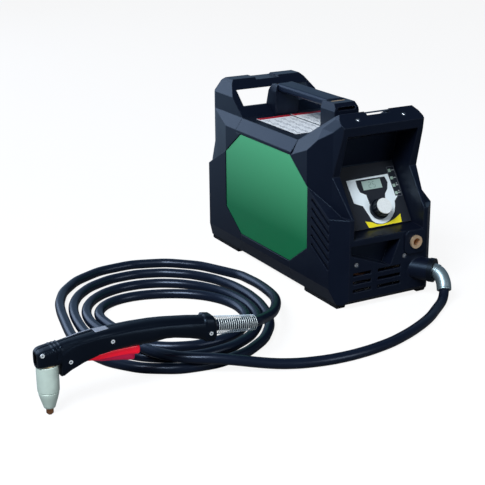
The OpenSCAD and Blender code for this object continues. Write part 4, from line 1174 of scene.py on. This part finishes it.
    def half_shell(self, side: int) -> bpy.types.Object:
        """One half of the handle: its sections, turned in to the bore at the back, with a wall.

        Args:
            side: 1 for the +Y half and -1 for the -Y half.

        Returns:
            The half shell.
        """
        angle = 90 - 180 * np.linspace(0, 1, self.columns)
        rows = np.concatenate([self.sections(angle), self.bore_rings(angle)])
        rows[..., 1] *= side
        faces = grid_faces(len(rows), self.columns)
        if side > 0:
            faces = faces[:, ::-1]
        name = "left" if side > 0 else "right"
        made = piece(f"handle_{name}", self.place(rows.reshape(-1, 3)), faces, TORCH)
        thicken(made, self.shell, -1)
        return shown(made, "case", "torch_plastic", f"torch_shell_{name}")

    def loft(self, name: str, table: Sequence[Sequence[float]], finish: Finish) -> bpy.types.Object:
        """A closed bar along the handle, each section a rounded box between its top and bottom.

        Args:
            name: Name of the piece.
            table: Rows of place, top, bottom and half width.
            finish: What it is finished with.

        Returns:
            The piece.
        """
        u = np.linspace(table[0][0], table[-1][0], self.bar_stations)
        top, bottom, half = rows_of(table, u).T
        across, up = superellipse(np.arange(0, 360, 360 / self.bar_sides)[None, :], self.bar_square)
        points = boxed(u, (top, bottom), half, across, up)
        faces = capped(self.bar_stations, self.bar_sides)
        return outward(piece(name, self.place(points.reshape(-1, 3)), faces, finish, smooth=50))

    def cup(self) -> bpy.types.Object:
        """The shield cup: a straight skirt, a fine ridge, a long taper and a blunt mouth.

        Returns:
            The cup, turned from its profile of radius and height.
        """
        points, faces = turned(self.cup_profile)
        made = outward(piece("torch_cup", self.place(points), faces, CUP, smooth=30))
        return shown(made, "case", "silver_boot", "shield_cup")

    def spring(self) -> bpy.types.Object:
        """The relief spring: a helix that narrows towards its free end, round the drooping lead.

        The place at a turn angle t is mouth + h axis + r (sin t y + cos t n), where h and r change
        evenly from one end to the other and n is square to the axis.

        Returns:
            The spring.
        """
        droop = math.radians(self.droop)
        axis = np.array([math.cos(droop), 0, -math.sin(droop)])
        normal = np.cross([0, 1, 0], axis)
        part = np.linspace(0, 1, self.spring_turns * self.spring_steps + 1)[:, None]
        turn = part * self.spring_turns * 2 * np.pi
        reach = self.spring_radius[0] + (self.spring_radius[1] - self.spring_radius[0]) * part
        first, last = self.spring_ends
        height = first * self.spring_wire + (self.spring_length - (first + last) * self.spring_wire) * part
        path = np.array([self.mouth[0], 0, self.mouth[1]]) + height * axis + reach * (
            np.sin(turn) * np.array([0, 1, 0]) + np.cos(turn) * normal
        )
        wire = self.spring_wire / 2 * self.wire_share * MM
        rings = tube_points(self.place(path), wire, self.spring_sides, axis)
        made = piece("lead_spring", rings, capped(len(path), self.spring_sides), SPRING_WIRE)
        return shown(made, "case", "screw_steel", "relief_spring")

    def strip(self, name: str, start: float, stop: float, low: float, high: float) -> bpy.types.Object:
        """A plain silver film along the top of the handle, bent over it like the top itself; the thin line
        among them is a painted highlight.

        Args:
            name: Name of the piece.
            start: Where it begins along the handle.
            stop: Where it ends.
            low: Angle of its one edge, where 90 is the crest of the handle.
            high: Angle of its other edge.

        Returns:
            The film.
        """
        u = np.linspace(start, stop, self.film_grid[0])
        top, bottom, half, exponent = rows_of(self.handle, u).T
        angle = np.linspace(low, high, self.film_grid[1])
        across, up = superellipse(angle[None, :], exponent[:, None])
        outer = boxed(u, (top, bottom), half, across, up) + np.array([0, 0, self.film_lift])
        made = piece(name, self.place(outer.reshape(-1, 3)), grid_faces(*self.film_grid), STRIP)
        thicken(made, self.film, 0)
        return shown(made, "case", "torch_plastic")

    def build(self) -> None:
        """Makes the torch's pieces."""
        for side in (1, -1):
            self.half_shell(side)
        shown(self.loft("trigger_blade", self.blade, RED), "trigger", "trigger_red", "torch_trigger")
        shown(self.loft("trigger_pad", self.pad, RED_PAD), "trigger", "trigger_red")
        self.cup()
        self.spring()
        for film in self.films:
            self.strip(*film)


# ---- Power unit ----


@dataclass
class PowerUnit:
    """Printed films of the control panel and the deck, and the soft air hose inside, in millimetres.

    Each film's pair of numbers is the height of its underside and of its face over what carries it.
    A mark or side has its middle, width and height. The silver frame's inner line runs down its right
    side, round the knob and up its left side.
    """

    panel_v: float = 200.0
    ledge: float = 122.0
    lean: float = 33.6
    knob: tuple[float, float] = (9.0, 28.0)
    knob_ring: float = 13.0
    knob_arc: tuple[float, float, int] = (25.0, -205.0, 24)
    frame_outer: tuple[tuple[float, float], ...] = (
        (-34, 85), (-32, 45.5), (-17, 38.5), (-8.2, 12.5), (-3, 7.5), (3, 5), (9, 4), (16, 4.6),
        (24, 7.4), (32, 13), (39, 20), (44, 30), (46, 38), (55, 46.5), (50.6, 46.5), (49, 86),
    )
    frame_right: tuple[tuple[float, float], ...] = (
        (-16.3, 83), (41.2, 82.3), (44, 72), (39.3, 60.4), (32.3, 53.4), (28.3, 41),
    )
    frame_left: tuple[tuple[float, float], ...] = ((-4.3, 56.3), (-14.3, 62), (-16.5, 71.4))
    wedge: tuple[tuple[float, float], ...] = (
        (-21.5, 13), (-18, 0.9), (47, 0.9), (49, 15.3), (41, 11.4), (32, 7.6), (20, 4.4), (9, 3.2),
        (-1, 4.6), (-8, 9),
    )
    marks: tuple[tuple[float, float, float, float], ...] = (
        (60.5, 51.5, 4.6, 1.5), (60.5, 64.7, 4.6, 1.5), (60.5, 77.9, 4.6, 1.5),
        (61, 91.1, 5.5, 1.2), (60.5, 54.6, 2.4, 1.6), (60.5, 67.8, 2.4, 1.6),
    )
    lamp_outline: tuple[tuple[float, float, float, float], ...] = (
        (57.3, 45.6, 14.2, 0.5), (57.3, 97.6, 14.2, 0.5), (50.4, 71.6, 0.5, 52), (64.2, 71.6, 0.5, 52),
    )
    digit_at: tuple[float, float] = (13.0, 72.5)
    digit_shift: float = 4.0
    digit_half: tuple[float, float] = (2.2, 5.0)
    bar: float = 0.8
    bar_across: float = 3.4
    bar_up: float = 4.0
    deck: float = 255.5
    label_across: tuple[float, float] = (3.0, 68.0)
    band_along: tuple[float, float] = (69.0, 80.5)
    rule_rows: tuple[float, float, float] = (-46.0, 64.0, 7.4)
    rule_columns: tuple[float, float, int] = (12.0, 16.0, 4)
    rule_height: float = 2.0
    rule_length: tuple[float, float] = (7.0, 4.0)
    rule_phase: tuple[float, float] = (3.1, 1.7)
    frame_film: tuple[float, float] = (0.06, 0.30)
    wedge_film: tuple[float, float] = (0.04, 0.24)
    mark_film: tuple[float, float] = (0.04, 0.20)
    outline_film: tuple[float, float] = (0.04, 0.16)
    digit_film: tuple[float, float] = (-0.88, -0.80)
    band_film: tuple[float, float] = (0.02, 0.12)
    rule_film: tuple[float, float] = (0.02, 0.10)
    hose_radius: float = 4.0
    hose_sides: int = 16
    hose_step: float = 3.0
    hose_ease: float = 8.0
    hose: tuple[tuple[float, float, float], ...] = (
        (-38, 149.6, 188), (-38, 130, 188), (-40, 100, 191), (-45, 60, 200), (-53, 10, 206),
        (-60, -40, 200), (-65, -80, 172), (-66, -104, 132), (-66, -112, 95), (-66, -112, 70),
        (-66, -112, 52.6),
    )

    def on_panel(self, points: Array) -> Array:
        """Takes places on the control panel to places in the frame.

        Args:
            points: x across, s up the panel's slope and d outward, in millimetres.

        Returns:
            Places in the frame.
        """
        x, s, d = np.asarray(points, float).T
        rise, run = math.cos(math.radians(self.lean)), math.sin(math.radians(self.lean))
        return np.stack([x, -self.panel_v + s * run - d * rise, self.ledge + s * rise + d * run], 1) * MM

    def on_deck(self, points: Array) -> Array:
        """Takes x, y and height over the deck labels, in millimetres, to places."""
        return (np.asarray(points, float) + np.array([0, 0, self.deck])) * MM

    def panel_films(self) -> None:
        """The printed shapes of the control panel: silver frame, yellow wedge, marks and outline."""
        inner = [*self.frame_right, *arc(self.knob, self.knob_ring, *self.knob_arc), *self.frame_left]
        ring = [*self.frame_outer, self.frame_outer[0], *inner, inner[0]]
        marks = [box_outline(*mark) for mark in self.marks]
        sides = [box_outline(*side) for side in self.lamp_outline]
        for name, outlines, film, finish in (
            ("panel_frame", [ring], self.frame_film, PANEL_SILVER),
            ("panel_wedge", [self.wedge], self.wedge_film, PANEL_YELLOW),
            ("panel_marks", marks, self.mark_film, PANEL_MARK),
            ("panel_outline", sides, self.outline_film, LABEL_GREY),
        ):
            shown(sheets(name, outlines, *film, finish, self.on_panel), "case", "panel_grey")

    def digits(self) -> None:
        """Two plain seven-bar digits, 2 and 5, on the display's glass."""
        flat, upright = (self.bar_across, self.bar), (self.bar, self.bar_up)
        x, y = self.digit_half
        bars = {
            "a": (0, y, *flat), "g": (0, 0, *flat), "d": (0, -y, *flat), "f": (-x, y / 2, *upright),
            "b": (x, y / 2, *upright), "e": (-x, -y / 2, *upright), "c": (x, -y / 2, *upright),
        }
        drawn = [
            box_outline(self.digit_at[0] + shift + across, self.digit_at[1] + rise, width, height)
            for shift, lit in ((-self.digit_shift, "abged"), (self.digit_shift, "afgcd"))
            for across, rise, width, height in (bars[key] for key in lit)
        ]
        made = sheets("display_digits", drawn, *self.digit_film, LCD_DIGIT, self.on_panel)
        shown(made, "case", "display")

    def dash_length(self, column: int, row: int) -> float:
        """Length of a ruled dash: mean + swing sin(a column + b row), so that the lengths vary.

        Args:
            column: Number of its column, from the middle of the case.
            row: Number of its row, from the front.

        Returns:
            The length in millimetres.
        """
        (mean, swing), (a, b) = self.rule_length, self.rule_phase
        return mean + swing * math.sin(a * column + b * row)

    def deck_films(self) -> None:
        """A red band along the rear edge of both deck labels, and rows of plain ruled dashes."""
        near, far = self.label_across
        low, high = self.band_along
        corners = ((near, low), (far, low), (far, high), (near, high))
        bands = [[[side * x, y] for x, y in corners] for side in (1, -1)]
        made = sheets("label_bands", bands, *self.band_film, LABEL_RED, self.on_deck)
        shown(made, "case", "label_white")
        first, step, count = self.rule_columns
        dashes = [
            box_outline(side * (first + step * i), float(y), self.dash_length(i, k), self.rule_height)
            for side in (1, -1) for i in range(count) for k, y in enumerate(np.arange(*self.rule_rows))
        ]
        made = sheets("label_rules", dashes, *self.rule_film, LABEL_GREY, self.on_deck)
        shown(made, "case", "label_white")

    def air_line(self) -> None:
        """The soft air hose inside the case, swept along a smooth line through its route."""
        path = smoothed(np.array(self.hose) * MM, self.hose_step * MM, self.hose_ease * MM)
        rings = tube_points(path, self.hose_radius * MM, self.hose_sides, (1, 0, 0))
        made = piece("air_line", rings, capped(len(path), self.hose_sides), HOSE)
        shown(made, "case", "hose_blue", "air_hose")

    def build(self) -> None:
        """Makes the power unit's films and hose."""
        self.panel_films()
        self.digits()
        self.deck_films()
        self.air_line()


# ---- The whole ----


def dress_nodes() -> None:
    """Gives each carried-over CAD node its finish."""
    for finish, names in NODE_FINISHES.items():
        for name in names:
            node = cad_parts[name]
            node.data.materials.clear()
            node.data.materials.append(finish.material())
            log.info("%s: %s", name, finish.name)


def main() -> None:
    """Builds the studio and every sub-assembly in order."""
    logging.basicConfig(level=logging.INFO, format="%(name)s %(message)s")
    Studio().build()
    TorchLead().build()
    dress_nodes()
    Torch().build()
    PowerUnit().build()


if __name__ == "__main__":
    main()
